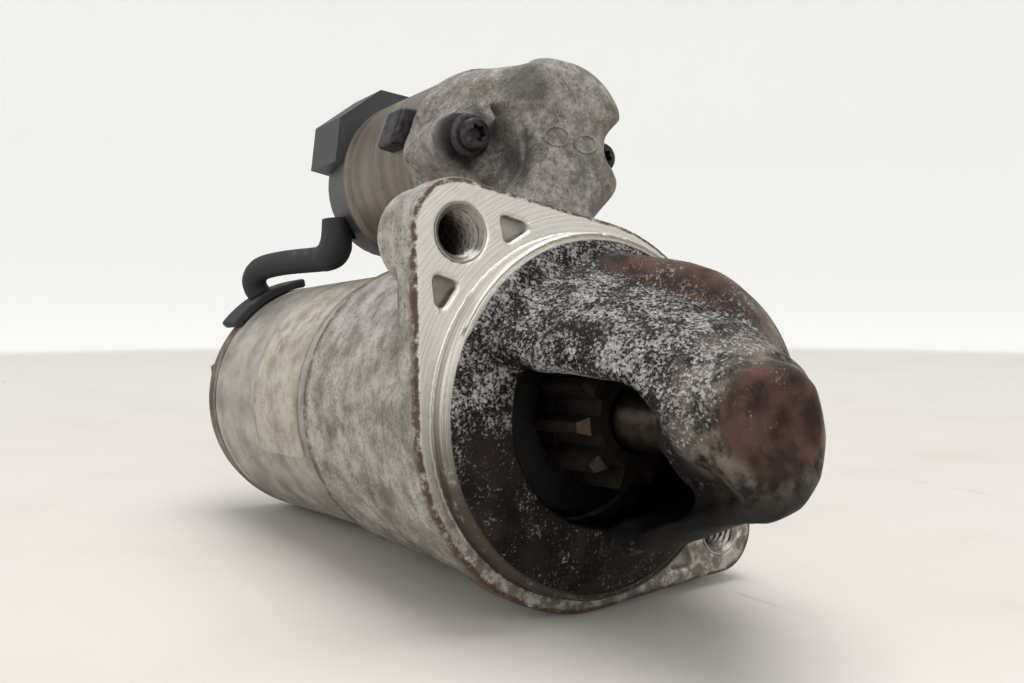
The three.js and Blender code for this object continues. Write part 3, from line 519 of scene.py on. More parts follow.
def yoke_look():
    """Grey paint over rolled steel, scratched and rusty next to the joint."""
    look = Look("yoke_steel")
    paint = look.mix(look.patches(12, 6, 0.65, 0.3, 0.7), linear(118, 113, 105), linear(172, 167, 158))
    paint = look.tinted(paint, (108, 100, 90), look.patches(0.8, 4, 0.7, 0.55, 0.7), 0.35)
    near_joint = look.band(look.x, -0.088, -0.068)
    scratch = look.band(look.noise(1.6, 4, 0.7, look.stretched(1, 0.25, 0.25)), 0.56, 0.64)
    worn = look.times(scratch, look.add(look.times(near_joint, 0.75), 0.12))
    paint = look.mix(worn, paint, look.mix(look.noise(2), linear(82, 54, 34), linear(140, 98, 62)))
    below = look.times(look.band(look.z, 0.0, -0.034), look.patches(8, 5, 0.7, 0.40, 0.62, 3.0))
    paint = look.tinted(paint, (98, 84, 68), below, 0.6)
    height = look.less(look.noise(0.6, 3), worn)
    return look.finish(paint, look.blend(worn, 0.55, 0.8), look.blend(worn, 0.25, 0.1), height, 0.05)


def label_look():
    """Aged blank label with a faint ruled border, no lettering."""
    look = Look("label_paper")
    color = look.mix(look.patches(7, 6, 0.7, 0.40, 0.66), linear(172, 166, 150), linear(136, 126, 108))
    ends = look.add(look.band(look.x, -0.0738, -0.0735), look.band(look.x, -0.1012, -0.1015))
    color = look.tinted(color, (110, 104, 96), ends, 0.35)
    color = look.tinted(color, (110, 102, 90), look.patches(3, 5, 0.7, 0.50, 0.68, 2.0), 0.55)
    return look.finish(color, 0.6, 0.0, look.noise(0.7, 3), 0.03)


def can_look():
    """Dull brown-grey steel with soft streaks round the can."""
    look = Look("case_steel")
    streak = look.noise(4, 5, 0.6, look.stretched(1, 0.3, 0.12))
    color = look.mix(look.band(streak, 0.30, 0.70), linear(84, 74, 64), linear(122, 111, 98))
    specks = look.patches(1.1, 5, 0.75, 0.58, 0.68)
    color = look.tinted(color, (70, 48, 34), specks, 0.5)
    return look.finish(color, look.blend(specks, 0.45, 0.75), 0.55, look.noise(0.8, 4), 0.06)


def pinion_look():
    """Rust-brown gear with teeth worn bright along their chamfered ends."""
    look = Look("rusted_steel")
    r = look.radius(look.y, look.z)
    fine = look.noise(0.7, 5, 0.7)
    color = look.mix(look.patches(3, 5, 0.7, 0.35, 0.65), linear(16, 11, 8), linear(34, 24, 17))
    color = look.tinted(color, (44, 30, 22), look.band(fine, 0.5, 0.65), 0.5)
    end = look.times(look.band(look.x, 0.0122, 0.0134), look.band(r, 0.0108, 0.0118))
    worn = look.times(end, look.patches(1.4, 4, 0.6, 0.34, 0.52, 3.0))
    color = look.tinted(color, (70, 56, 42), worn, 0.8)
    return look.finish(color, look.blend(worn, 0.62, 0.34), look.blend(worn, 0.45, 0.8), fine, 0.12)


def shaft_look():
    """Yellowish-brown ground steel with faint rings."""
    look = Look("shaft_steel")
    ring = look.noise(0.4, 2, 0.5, look.turned_place())
    color = look.mix(look.patches(2.5, 5, 0.65, 0.35, 0.65), linear(26, 21, 15), linear(50, 41, 30))
    color = look.tinted(color, (82, 64, 46), look.band(ring, 0.5, 0.7), 0.3)
    return look.finish(color, 0.38, 0.75, ring, 0.03)


def thread_look():
    """Cut thread with grease in its roots, and painted shade that makes it darker towards the back."""
    look = Look("thread_metal")
    # painted shade: darker deeper in the hole
    color = look.mix(look.band(look.x, -0.010, -0.001), linear(40, 34, 30), linear(152, 146, 138))
    color = look.tinted(color, (70, 58, 46), look.patches(1.4, 4, 0.6, 0.5, 0.7), 0.5)
    return look.finish(color, 0.35, 0.9, look.noise(0.5, 3), 0.03)


def make_looks():
    """A material for every slot in the record."""
    return {
        "cast_aluminium": CastLook().finished(),
        "yoke_steel": yoke_look(),
        "label_paper": label_look(),
        "case_steel": can_look(),
        "rusted_steel": pinion_look(),
        "machined_steel": shaft_look(),
        "rear_cover_steel": metal_look("rear_cover_steel", (128, 122, 114), (86, 80, 74), 0.55, 0.4, 0.5, 6),
        "plated_steel": metal_look("plated_steel", (150, 142, 126), (98, 90, 78), 0.42, 0.7, 0.5, 2),
        "spring_steel": metal_look("spring_steel", (150, 148, 144), (100, 98, 95), 0.4, 0.9, 0.1, 1),
        "core_steel": metal_look("core_steel", (120, 116, 112), (80, 78, 76), 0.6, 0.6, 0.2, 2),
        "nose_bronze": metal_look("nose_bronze", (164, 132, 84), (112, 84, 50), 0.5, 0.8, 0.0, 2),
        "copper": metal_look("copper", (146, 98, 70), (98, 62, 44), 0.45, 0.9, 0.0, 2),
        "brass": metal_look("brass", (196, 168, 104), (150, 122, 66), 0.35, 0.9, 0.0, 2),
        "ferrite": metal_look("ferrite", (74, 74, 76), (48, 48, 50), 0.75, 0.1, 0.0, 2),
        "carbon": metal_look("carbon", (60, 54, 50), (38, 34, 31), 0.6, 0.2, 0.0, 1),
        "rubber": moulded_look("rubber", (34, 34, 36), 0.75, 0.35),
        "black_plastic": moulded_look("black_plastic", (44, 44, 47), 0.5, 0.45),
        "coil_plastic": moulded_look("coil_plastic", (206, 198, 176), 0.5, 0.1),
        "lever_plastic": moulded_look("lever_plastic", (168, 158, 132), 0.5, 0.1),
        "thread_metal": thread_look(),
        # near black; on the clutch shell it paints the shade in the bore behind the pinion
        "greasy_steel": metal_look("greasy_steel", (14, 12, 10), (7, 6, 5), 0.6, 0.0, 0.0, 3),
        "bolt_steel": metal_look("bolt_steel", (64, 62, 63), (30, 29, 29), 0.4, 0.7, 0.25, 1.2),
    }


# ---------- the casting as a distance field: negative inside, in millimetres ----------
def blend_in(a, b, k):
    """Union of two fields with a fillet about k wide."""
    h = np.clip(0.5 + 0.5 * (b - a) / k, 0, 1)
    return b + (a - b) * h - k * h * (1 - h)


def keep(a, b, k):
    """Where both fields are inside, with a rounded edge about k wide."""
    return -blend_in(-a, -b, k)


def polygon(points, U, V):
    """Signed distance to a closed polygon in the plane of U and V."""
    shape = np.broadcast(U, V).shape
    nearest = np.full(shape, 1e9, np.float32)
    inside = np.zeros(shape, bool)
    for (ax, ay), (bx, by) in zip(points, points[1:] + points[:1]):
        ex, ey = bx - ax, by - ay
        wx, wy = U - ax, V - ay
        t = np.clip((wx * ex + wy * ey) / (ex * ex + ey * ey + 1e-12), 0, 1)
        nearest = np.minimum(nearest, (wx - t * ex) ** 2 + (wy - t * ey) ** 2)
        crosses = (V < ay) != (V < by)
        inside ^= crosses & ((wx * ey - wy * ex) * (1 if ey > 0 else -1) < 0)
    distance = np.sqrt(nearest)
    return np.where(inside, -distance, distance).astype(np.float32)


def turned(profile, X, R):
    """Solid of revolution about the X axis from (x, radius) points along the outside."""
    outline = [(profile[0][0], -5.0)] + list(profile) + [(profile[-1][0], -5.0)]
    radii = np.arange(0, max(r for _, r in profile) + 40, 0.5, dtype=np.float32)
    flat = polygon(outline, X.ravel()[:, None], radii[None, :])
    position = np.clip(R / 0.5, 0, len(radii) - 1.001)
    low = position.astype(np.int32)
    part = (position - low).astype(np.float32)
    return flat[:, low[0]] * (1 - part) + flat[:, low[0] + 1] * part


def hull(circles):
    """Convex outline round circles (y, z, radius)."""
    steps = 72
    angles = [2 * pi * i / steps for i in range(steps)]
    points = sorted({(y + r * cos(a), z + r * sin(a)) for y, z, r in circles for a in angles})

    def half(sequence):
        chain = []
        for p in sequence:
            while len(chain) > 1 and left_turn(chain[-2], chain[-1], p) <= 0:
                chain.pop()
            chain.append(p)
        return chain[:-1]
    return half(points) + half(points[::-1])


def left_turn(a, b, c):
    return (b[0] - a[0]) * (c[1] - a[1]) - (b[1] - a[1]) * (c[0] - a[0])


def between(X, x0, x1):
    """Field of the layer between two planes."""
    return np.maximum(x0 - X, X - x1)


def slab(flat, X, x0, x1, k=0.8):
    return keep(flat, between(X, x0, x1), k)


def ellipsoid(X, Y, Z, centre, radii, turn=0.0):
    x, y, z = X - centre[0], Y - centre[1], Z - centre[2]
    y, z = y * cos(turn) + z * sin(turn), -y * sin(turn) + z * cos(turn)
    a = np.sqrt((x / radii[0]) ** 2 + (y / radii[1]) ** 2 + (z / radii[2]) ** 2)
    b = np.sqrt((x / radii[0] ** 2) ** 2 + (y / radii[1] ** 2) ** 2 + (z / radii[2] ** 2) ** 2)
    return a * (a - 1) / np.maximum(b, 1e-6)


def nose(X, Y, Z, R):
    """Cone and hood round the pinion, the side cut for the ring gear, and the closed tip.
    Also returns the seam field, which is negative on the hood."""
    cone = turned([(-2, 36.2), (4.9, 36.2), (5.6, 35.2), (6.2, 31.8), (10, 29.4), (20, 25.6),
                   (30, 22.2), (40, 18), (48, 13)], X, R)
    hood = turned([(-2, 34), (7, 33.6), (14, 32.6), (24, 31), (29, 29.6), (33, 27), (37, 22.4),
                   (40, 16), (41, 12)], X, R)
    valley = np.interp(X, [0, 10, 20, 28, 37, 43, 48], [-3, -2, -1, 2, 3, 5, 10]).astype(np.float32)
    hood = keep(hood, valley + 1.5 - Y, 8.0)
    hood = keep(hood, -(Z + 16), 8.0)
    seam = hood - cone
    outer = blend_in(cone, hood, 2.0)
    side = polygon([(5.4, -80), (5.4, -33), (8, -27.6), (14, -24), (22, -22), (30, -20.6), (38, -18.6),
                    (46, -15.8), (52, -14.4), (60, -13), (60, -80)], X[:, :, 0], Y[:, :, 0])
    outer = keep(outer, -side[:, :, None], 2.5)
    tip_flat = polygon([(-14.4, -4), (-13.4, 6), (-10, 11), (-3, 11.8), (2.2, 10.6), (5.4, 7), (6.2, -2),
                        (4.6, -9.4), (0.4, -14.2), (-6, -15.2), (-11.4, -11.6)], Y[0], Z[0])[None]
    tip = slab(tip_flat, X, 20, NOSE_END, 4.0)
    from_tip = np.sqrt((Y + 4.4) ** 2 + (Z + 1.0) ** 2)
    flare = np.interp(X, [36, 46, 52, 56, NOSE_END], [30, 22, 16.6, 12.4, 10.4]).astype(np.float32)
    tip = keep(tip, (from_tip - flare) * 0.75, 3.0)
    return blend_in(outer, tip, 6.0), seam


def window(X, Y, Z):
    """The opening for the ring gear, with a rim that is turned over like a lip."""
    flat = polygon([(0, 3), (-6, 6.5), (-14.6, 11.8), (-20, 12), (-26, 15), (-34, 21), (-60, 40),
                    (-60, -60), (-20, -60), (-12, -34), (-7, -19), (0, -13)], Y[0], Z[0])[None]
    cut = slab(flat, X, 5.2, 36, 3.0)
    back = slab(Y + 7.5, X, 30, 62, 3.0)
    cut = blend_in(cut, back, 2.5)
    scale = (RIM_Y - EYE[1]) / (Y - EYE[1])
    across = EYE[0] + (X - EYE[0]) * scale
    up = EYE[2] + (Z - EYE[2]) * scale
    rim = polygon_lookup(WINDOW_RIM, across, up) / scale
    return keep(cut, rim, 3.4)


def polygon_lookup(points, U, V):
    """Signed distance to a polygon at scattered places, read from a table."""
    step = 0.5
    us = np.arange(-20, 75, step, dtype=np.float32)
    vs = np.arange(-90, 100, step, dtype=np.float32)
    table = polygon(points, us[:, None], vs[None, :])
    i = np.clip((U - us[0]) / step, 0, len(us) - 1.001)
    j = np.clip((V - vs[0]) / step, 0, len(vs) - 1.001)
    i0, j0 = i.astype(np.int32), j.astype(np.int32)
    fi, fj = i - i0, j - j0
    low = table[i0, j0] * (1 - fi) + table[i0 + 1, j0] * fi
    high = table[i0, j0 + 1] * (1 - fi) + table[i0 + 1, j0 + 1] * fi
    return (low * (1 - fj) + high * fj).astype(np.float32)


def solenoid_axes(Y, Z):
    """Distances across and along the line from the shaft to the solenoid."""
    return Y * cos(LEAN) + Z * sin(LEAN), Z * cos(LEAN) - Y * sin(LEAN)


def solenoid_end(X, Y, Z):
    """Dome over the plunger and lever, its foot on the body, and the two bolt bosses."""
    V, W = solenoid_axes(Y, Z)
    dome = turned([(-50.2, 23.0), (-44, 22.6), (-37, 21.2), (-30, 20.2), (-21, 19.6), (-16.5, 17.8),
                   (-14, 14.6), (-13, 9.6), (-12.8, 4)], X, np.sqrt(V ** 2 + (W - AXES_APART) ** 2))
    neck = slab(np.maximum(np.abs(V + 4) - 10, W - 55), X, -22, -13.4, 5)
    behind = slab(keep(np.abs(V + 2) - (15.5 - 0.28 * (W - 34)), W - 56, 3), X, -48, -20, 5)
    foot_end = X + 6 + 0.6 * (W - 36)
    foot = keep(np.abs(V + 4) - (10.4 - 0.25 * (W - 36)), np.maximum(-24 - X, foot_end), 5)
    foot = keep(foot, W - 52, 4)
    house = blend_in(blend_in(blend_in(dome, behind, 6), neck, 6), foot, 6)
    house = blend_in(house, slab(mounting_plate(V, W), X, -50.2, -46.4), 1.2)
    for (v, w, face), front_r, back_r in ((NEAR_BOLT, 6.1, 3.5), (FAR_BOLT, 6.2, 6.2)):
        from_bolt = np.sqrt((V - v) ** 2 + (W - AXES_APART - w) ** 2)
        radius = back_r + (front_r - back_r) * np.clip((X + 50) / 14, 0, 1)
        boss = slab(from_bolt - radius, X, -50.2, face - 1.2, 1.5)
        house = blend_in(house, boss, 3.0)
        house = keep(house, -keep(from_bolt - HEAD_ROOM_R, face - 1.2 - X, 1.5), 1.8)
    for centre, radii, turn in (
        ((-27.0, -15.5, 75.0), (4.0, 6.0, 9.0), 0.5),
        ((-20.6, -16.4, 54.4), (5.4, 5.4, 4.4), -0.4),
        ((-14.5, 18.0, 63.4), (8.0, 7.0, 4.6), 0.0),
    ):
        house = keep(house, -ellipsoid(X, V, W, centre, radii, turn), 7)
    return keep(house, 20 - W, 1)


def mounting_plate(V, W):
    """Outline of the plate that the can is bolted to, read from a table."""
    step = 0.25
    outline = hull([(0, AXES_APART, 23.2), (19.6, AXES_APART + 2.6, 6.4)])
    table = polygon(outline, np.linspace(-40, 40, 321, dtype=np.float32)[:, None],
                    np.linspace(20, 100, 321, dtype=np.float32)[None, :])
    i = np.clip((V + 40) / step, 0, 319).astype(np.int32)
    j = np.clip((W - 20) / step, 0, 319).astype(np.int32)
    return table[i, j]


def barrel(X, Y, Z, R):
    """The body behind the flange, with the two ears."""
    body = turned([(BODY_END, 37.2), (-40, 38), (-20, 39.2), (-6, 40.2), (-1, 40.4)], X, R)
    for y, z, r in EARS:
        flat = polygon(hull([(y, z, r), (y * 0.6, z * 0.6, r)]), Y[0], Z[0])[None]
        body = blend_in(body, slab(flat, X, -EAR_T, -0.5, 2.0), 4.0)
    return body


def hollows(X, Y, Z, R):
    """The gear chamber and pinion room, and the rooms of the lever and the plunger."""
    room = turned([(-70, 33.2), (-51.3, 33.2), (-51.2, 28.5), (-14, 28.5), (-9, 22.6), (12, 22.2),
                   (17, 19.2), (24, 17.2), (33.5, 17.2), (35, 15.5)], X, R)
    V, W = solenoid_axes(Y, Z)
    lever_slot = np.maximum(np.abs(V) - 6, between(X, -47.5, -22.5))
    lever_slot = np.maximum(lever_slot, between(W, 20, AXES_APART))
    from_axis = np.sqrt(V ** 2 + (W - AXES_APART) ** 2)
    plunger_room = np.maximum(from_axis - np.where(X < -44, 12.4, 9.6), between(X, -60, -21))
    return room, np.minimum(lever_slot, plunger_room)


def drilled(whole, X, Y, Z):
    """The casting with its threaded holes and flange pockets."""
    for y, z, _ in EARS:
        hole = np.sqrt((Y - y) ** 2 + (Z - z) ** 2) - EAR_HOLE_R
        whole = np.maximum(whole, -hole + 0 * X)
    for corners in POCKETS:
        middle = np.mean(corners, axis=0)
        inner = [tuple(middle + (corner - middle) * 0.5) for corner in np.array(corners)]
        pocket = slab(polygon(inner, Y[0], Z[0])[None] - 1.25, X, -POCKET_DEPTH, 4, 1.2)
        whole = keep(whole, -pocket, 0.5)
    return whole


def casting(X, Y, Z):
    """The whole casting, and the seam field of its nose."""
    R = np.sqrt(Y * Y + Z * Z)
    whole = blend_in(barrel(X, Y, Z, R), solenoid_end(X, Y, Z), 5.0)
    flange = slab(polygon(hull([(0, 0, FLANGE_R)] + EARS), Y[0], Z[0])[None], X, -FLANGE_T, 0, 0.9)
    whole = blend_in(whole, flange, 1.6)
    whole = np.minimum(whole, turned([(-2, SPIGOT_R), (4.2, SPIGOT_R), (4.8, 37.4)], X, R))
    front, seam = nose(X, Y, Z, R)
    whole = np.minimum(whole, front)
    whole = np.maximum(whole, np.minimum(X, R - SPIGOT_R - 0.2))
    groove = np.maximum(np.abs(R - 36.9) - 0.35, 4.0 - X)
    whole = keep(whole, -groove, 0.3)
    whole = keep(whole, -window(X, Y, Z), 3.0)
    room, lever_rooms = hollows(X, Y, Z, R)
    whole = np.maximum(keep(whole, -room, 1.6), -lever_rooms)
    hub = turned([(34.5, 11.6), (35.5, 12.4), (50, 12.4)], X, R)
    whole = drilled(blend_in(whole, hub, 1.5), X, Y, Z)
    dish = ellipsoid(X, Y, Z, (61.0, -6.4, 2.6), (6.4, 8.6, 10.0), 0.1)
    return keep(whole, -dish, 1.2), seam


# ---------- pieces ----------
def make_piece(name, points, faces, look, stands_for=(), sharp=35):
    """A piece of the housing from points in millimetres, welded, smooth except at sharp edges."""
    mesh = bpy.data.meshes.new(name)
    mesh.from_pydata([tuple(c * MM for c in p) for p in points], [], faces)
    shaped = bmesh.new()
    shaped.from_mesh(mesh)
    bmesh.ops.remove_doubles(shaped, verts=shaped.verts, dist=1e-6)
    bmesh.ops.dissolve_degenerate(shaped, edges=shaped.edges, dist=1e-7)
    bmesh.ops.recalc_face_normals(shaped, faces=shaped.faces)
    shaped.to_mesh(mesh)
    shaped.free()
    piece = bpy.data.objects.new(name, mesh)
    bpy.context.scene.collection.objects.link(piece)
    mesh.materials.append(look)
    shade(mesh, sharp)
    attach(piece, "housing")
    if stands_for:
        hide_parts(*stands_for)
    return piece


def shade(mesh, sharp):
    mesh.polygons.foreach_set("use_smooth", [True] * len(mesh.polygons))
    mesh.set_sharp_from_angle(angle=radians(sharp))


def rounded(piece, width, segments=2):
    """Rounds the edges of a piece and keeps its flats flat."""
    bevel = piece.modifiers.new("edges", "BEVEL")
    bevel.width = width * MM
    bevel.segments = segments
    bevel.limit_method = "ANGLE"
    bevel.angle_limit = radians(35)
    bevel.harden_normals = True


def turned_shape(profile, centre=(0, 0), facets=120):
    """Points and faces of a closed profile of (x, radius) turned about the X axis."""
    points, faces = [], []
    count = len(profile)
    for i in range(facets):
        a = 2 * pi * i / facets
        points += [(x, centre[0] + r * cos(a), centre[1] + r * sin(a)) for x, r in profile]
    for i in range(facets):
        j = (i + 1) % facets
        for k in range(count):
            n = (k + 1) % count
            faces.append((i * count + k, j * count + k, j * count + n, i * count + n))
    return points, faces


def solenoid_centre():
    return -AXES_APART * sin(LEAN), AXES_APART * cos(LEAN)


def from_solenoid(x, v, w):
    """A point given about the solenoid's own axis, as a point in the row frame."""
    return x, v * cos(LEAN) - (w + AXES_APART) * sin(LEAN), v * sin(LEAN) + (w + AXES_APART) * cos(LEAN)


def cad_copy(node, name, look, edge=0.0, body="housing"):
    """A finished copy of a CAD node: welded, with rounded edges, standing for that node."""
    mesh = nodes[node].data.copy()
    mesh.name = name
    shaped = bmesh.new()
    shaped.from_mesh(mesh)
    bmesh.ops.remove_doubles(shaped, verts=shaped.verts, dist=2e-6)
    bmesh.ops.dissolve_limit(shaped, angle_limit=radians(0.5), verts=shaped.verts, edges=shaped.edges)
    shaped.to_mesh(mesh)
    shaped.free()
    mesh.materials.clear()
    mesh.materials.append(look)
    piece = bpy.data.objects.new(name, mesh)
    bpy.context.scene.collection.objects.link(piece)
    shade(mesh, 30)
    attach(piece, body)
    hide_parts(node)
    if edge:
        rounded(piece, edge)
    return piece


def make_casting():
    """The casting as a distance field on a grid, turned into one closed mesh. Returns its surface."""
    low = np.array((-66.0, -46.0, -44.5))
    high = (59.0, 50.5, 86.0)
    axes = [np.arange(a, b, CAST_STEP, dtype=np.float32) for a, b in zip(low, high)]
    field, seam = casting(axes[0][:, None, None], axes[1][None, :, None], axes[2][None, None, :])
    field = np.clip(field, -4, 4).astype(np.float32)
    grid = openvdb.FloatGrid(4.0)
    grid.copyFromArray(field)
    points, quads = grid.convertToQuads(isovalue=0)
    inner, outer = (np.array(corner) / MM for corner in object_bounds())
    points = np.clip(points * CAST_STEP + low, (BODY_END, *inner[1:]), (NOSE_END, *outer[1:]))
    points, quads = points.tolist(), quads.tolist()
    piece = make_piece("casting", points, quads, looks["cast_aluminium"],
                       ["drive_housing"], sharp=180)
    mark_casting(piece.data, field, seam, low)
    return BVHTree.FromPolygons(points, quads)


def mark_casting(mesh, field, seam, low):
    """Measures that the casting's material reads: distances in millimetres, and hollows and edges
    from 0 to 1."""
    count = len(mesh.vertices)
    spots, normals = np.zeros(count * 3, np.float32), np.zeros(count * 3, np.float32)
    mesh.vertices.foreach_get("co", spots)
    mesh.vertices.foreach_get("normal", normals)
    spots, normals = spots.reshape(-1, 3) / MM, normals.reshape(-1, 3)

    def read(values, places):
        cells = np.round((places - low) / CAST_STEP).astype(int)
        cells = np.clip(cells, 0, np.array(values.shape) - 1)
        return values[cells[:, 0], cells[:, 1], cells[:, 2]]

    y, z = spots[:, 1], spots[:, 2]
    store(mesh, "outline", polygon(hull([(0, 0, FLANGE_R)] + EARS), y, z))
    store(mesh, "pocket", np.min([polygon(corners, y, z) for corners in POCKETS], axis=0))
    store(mesh, "seam", read(seam, spots))
    store(mesh, "hollow", 1 - np.clip(read(field, spots + normals * 2.6) / 2.6, 0, 1))
    store(mesh, "edge", 1 - np.clip(-read(field, spots - normals * 1.6) / 1.6, 0, 1))


def store(mesh, name, values):
    layer = mesh.attributes.new(name, "FLOAT", "POINT")
    layer.data.foreach_set("value", np.ascontiguousarray(values, np.float32))


def thread_shape(ear):
    """A cut M10 thread with its countersink, as a closed sleeve in the ear."""
    around, rows = 72, 132
    y, z, _ = ear
    start = -EAR_T + 0.1
    points, faces = [], []
    for k in range(rows + 1):
        x = start + (-0.05 - start) * k / rows
        for i in range(around):
            a = 2 * pi * i / around
            turn = (x / THREAD_PITCH + i / around) % 1.0
            ridge = max(0.0, 1 - abs(2 * turn - 1) * 1.25)
            r = THREAD_R - 0.75 * ridge
            r = max(r, THREAD_R + 0.55 + (x + 0.05) * 0.9)
            points.append((x, y + r * cos(a), z + r * sin(a)))
    for x in (-0.05, start):
        for i in range(around):
            a = 2 * pi * i / around
            points.append((x, y + (THREAD_R + 0.9) * cos(a), z + (THREAD_R + 0.9) * sin(a)))
    loops = rows + 3
    for k in range(loops):
        n = (k + 1) % loops
        for i in range(around):
            j = (i + 1) % around
            faces.append((k * around + i, k * around + j, n * around + j, n * around + i))
    return points, faces


def make_threads():
    for number, ear in enumerate(EARS, 1):
        points, faces = thread_shape(ear)
        make_piece(f"ear_thread_{number}", points, faces, looks["thread_metal"], sharp=50)


def bolt_shape(place):
    """A washer-faced bolt head with a star-shaped recess, seated at the bolt's face."""
    v, w, face = place
    steps, lobes = 48, 6
    washer, head, recess, top = 4.9, 3.6, 1.75, face + 4.0
    rings = [(face + 0.1, washer, 0), (face + 0.9, washer, 0), (face + 1.1, washer - 0.3, 0),
             (face + 1.2, head, 0), (top - 0.7, head, 0), (top - 0.2, head - 0.3, 0), (top, head - 0.9, 0),
             (top, recess + 0.1, 0.35), (top - 0.15, recess, 0.35), (top - 1.9, recess, 0.35)]
    points, faces = [], []
    for x, radius, wave in rings:
        for i in range(steps):
            a = 2 * pi * i / steps
            r = radius + wave * cos(lobes * a)
            points.append(from_solenoid(x, v + r * cos(a), w + r * sin(a)))
    for k in range(len(rings) - 1):
        low, high = k * steps, (k + 1) * steps
        for i in range(steps):
            j = (i + 1) % steps
            faces.append((low + i, low + j, high + j, high + i))
    faces.append(tuple(reversed(range(steps))))
    faces.append(tuple(range(len(points) - steps, len(points))))
    return points, faces


def make_bolts():
    for name, place in (("solenoid_bolt_near", NEAR_BOLT), ("solenoid_bolt_far", FAR_BOLT)):
        points, faces = bolt_shape(place)
        make_piece(name + "_head", points, faces, looks["bolt_steel"], [name])


def oval_mark(name, surface, y, z, long, short):
    """A blank oval casting mark: a thin raised rim laid on the front of the dome."""
    points, faces = [], []
    steps, sides, rim = 40, 8, 0.3
    for i in range(steps):
        a = 2 * pi * i / steps
        start = Vector((NOSE_END, y + long * cos(a), z + short * sin(a)))
        x = surface.ray_cast(start, Vector((-1, 0, 0)))[0].x
        for k in range(sides):
            b = 2 * pi * k / sides
            reach = 1 + rim * cos(b) / short
            points.append((x + rim * sin(b), y + long * reach * cos(a), z + short * reach * sin(a)))
    for i in range(steps):
        for k in range(sides):
            j, n = (i + 1) % steps, (k + 1) % sides
            faces.append((i * sides + k, j * sides + k, j * sides + n, i * sides + n))
    make_piece(name, points, faces, looks["cast_aluminium"], sharp=180)


def make_yoke():
    """Rolled tube with a rolled-in bead at each end."""
    front, back = BODY_END - 0.3, YOKE_END
    r = YOKE_R
    outer = [(front, r - 0.6), (front - 0.6, r), (front - 5, r), (front - 5.6, r - 0.35),
             (front - 6.8, r - 0.35), (front - 7.4, r), (back + 6, r), (back + 5.4, r - 0.3),
             (back + 4.6, r - 0.3), (back + 4, r), (back + 0.5, r), (back, r - 0.5)]
    inner = [(back, r - 3), (front, r - 3)]
    points, faces = turned_shape(outer + inner, facets=160)
    make_piece("yoke_tube", points, faces, looks["yoke_steel"], ["yoke"])


def make_label():
    """The label, laid on the yoke with soft corners."""
    points, faces = [], []
    start, end = radians(112), radians(196)
    x0, x1, corner = -103.0, -72.0, 2.5
    rows, columns = 40, 60
    inside, outside = YOKE_R + 0.02, YOKE_R + 0.2
    for side in (outside, inside):
        for i in range(columns + 1):
            along = (end - start) * YOKE_R
            s = along * i / columns
            squeeze = max(0.0, corner - min(s, along - s))
            inset = corner - (max(0.0, corner ** 2 - squeeze ** 2)) ** 0.5
            a = start + s / YOKE_R
            for k in range(rows + 1):
                x = x0 + inset + (x1 - x0 - 2 * inset) * k / rows
                points.append((x, side * cos(a), side * sin(a)))
    width, sheet = rows + 1, (rows + 1) * (columns + 1)
    for i in range(columns):
        for k in range(rows):
            a = i * width + k
            faces.append((a, a + 1, a + width + 1, a + width))
            faces.append(tuple(v + sheet for v in (a, a + width, a + width + 1, a + 1)))
    rim = [i * width for i in range(columns + 1)] + [columns * width + k for k in range(1, width)]
    rim += [i * width + rows for i in range(columns - 1, -1, -1)] + list(range(rows - 1, 0, -1))
    for a, b in zip(rim, rim[1:] + rim[:1]):
        faces.append((a, b, b + sheet, a + sheet))
    make_piece("yoke_label_sheet", points, faces, looks["label_paper"], ["yoke_label"])


def make_rear_cover():
    """Drawn steel cover with a rounded rim, a shallow step and a bearing boss."""
    end, r = YOKE_END - 0.3, YOKE_R
    outer = [(end, r), (-138.5, r), (-139.1, r - 0.45), (-140.2, r - 0.45), (-140.8, r - 0.2)]
    for i in range(7):
        a = radians(90 * i / 6)
        outer.append((-144.2 - 3.4 * sin(a), 31.2 + 3.4 * cos(a)))
    outer += [(-147.6, 17), (-147.2, 16), (-146.9, 15.2), (-146.9, 13), (-147.4, 12), (REAR_END, 11.4),
              (REAR_END, 6.8)]
    inner = [(-147.4, 6.5), (-135.5, 6.5), (-135.5, 9.5), (-144.6, 9.5), (-144.6, 30.9), (end, r - 3)]
    points, faces = turned_shape(outer + inner, facets=160)
    slot = "rear_cover_steel"
    make_piece("rear_cover_shell", points, faces, looks[slot], ["rear_cover"])


def make_solenoid_can():
    """Drawn steel can: rolled front edge, shallow crimp at the cap."""
    front, back, r = CASE_FRONT, CASE_REAR, CASE_R
    outer = [(front, r - 0.8), (front - 0.8, r), (back + 5.4, r), (back + 4.9, r - 0.3),
             (back + 3.6, r - 0.3), (back + 3.1, r), (back + 0.6, r), (back, r - 0.5)]
    inner = [(back, r - 1.7), (front - 2.2, r - 1.7), (front - 2.2, 11.6), (front, 11.6)]
    points, faces = turned_shape(outer + inner, solenoid_centre(), 140)
    make_piece("solenoid_can", points, faces, looks["case_steel"], ["solenoid_case"])


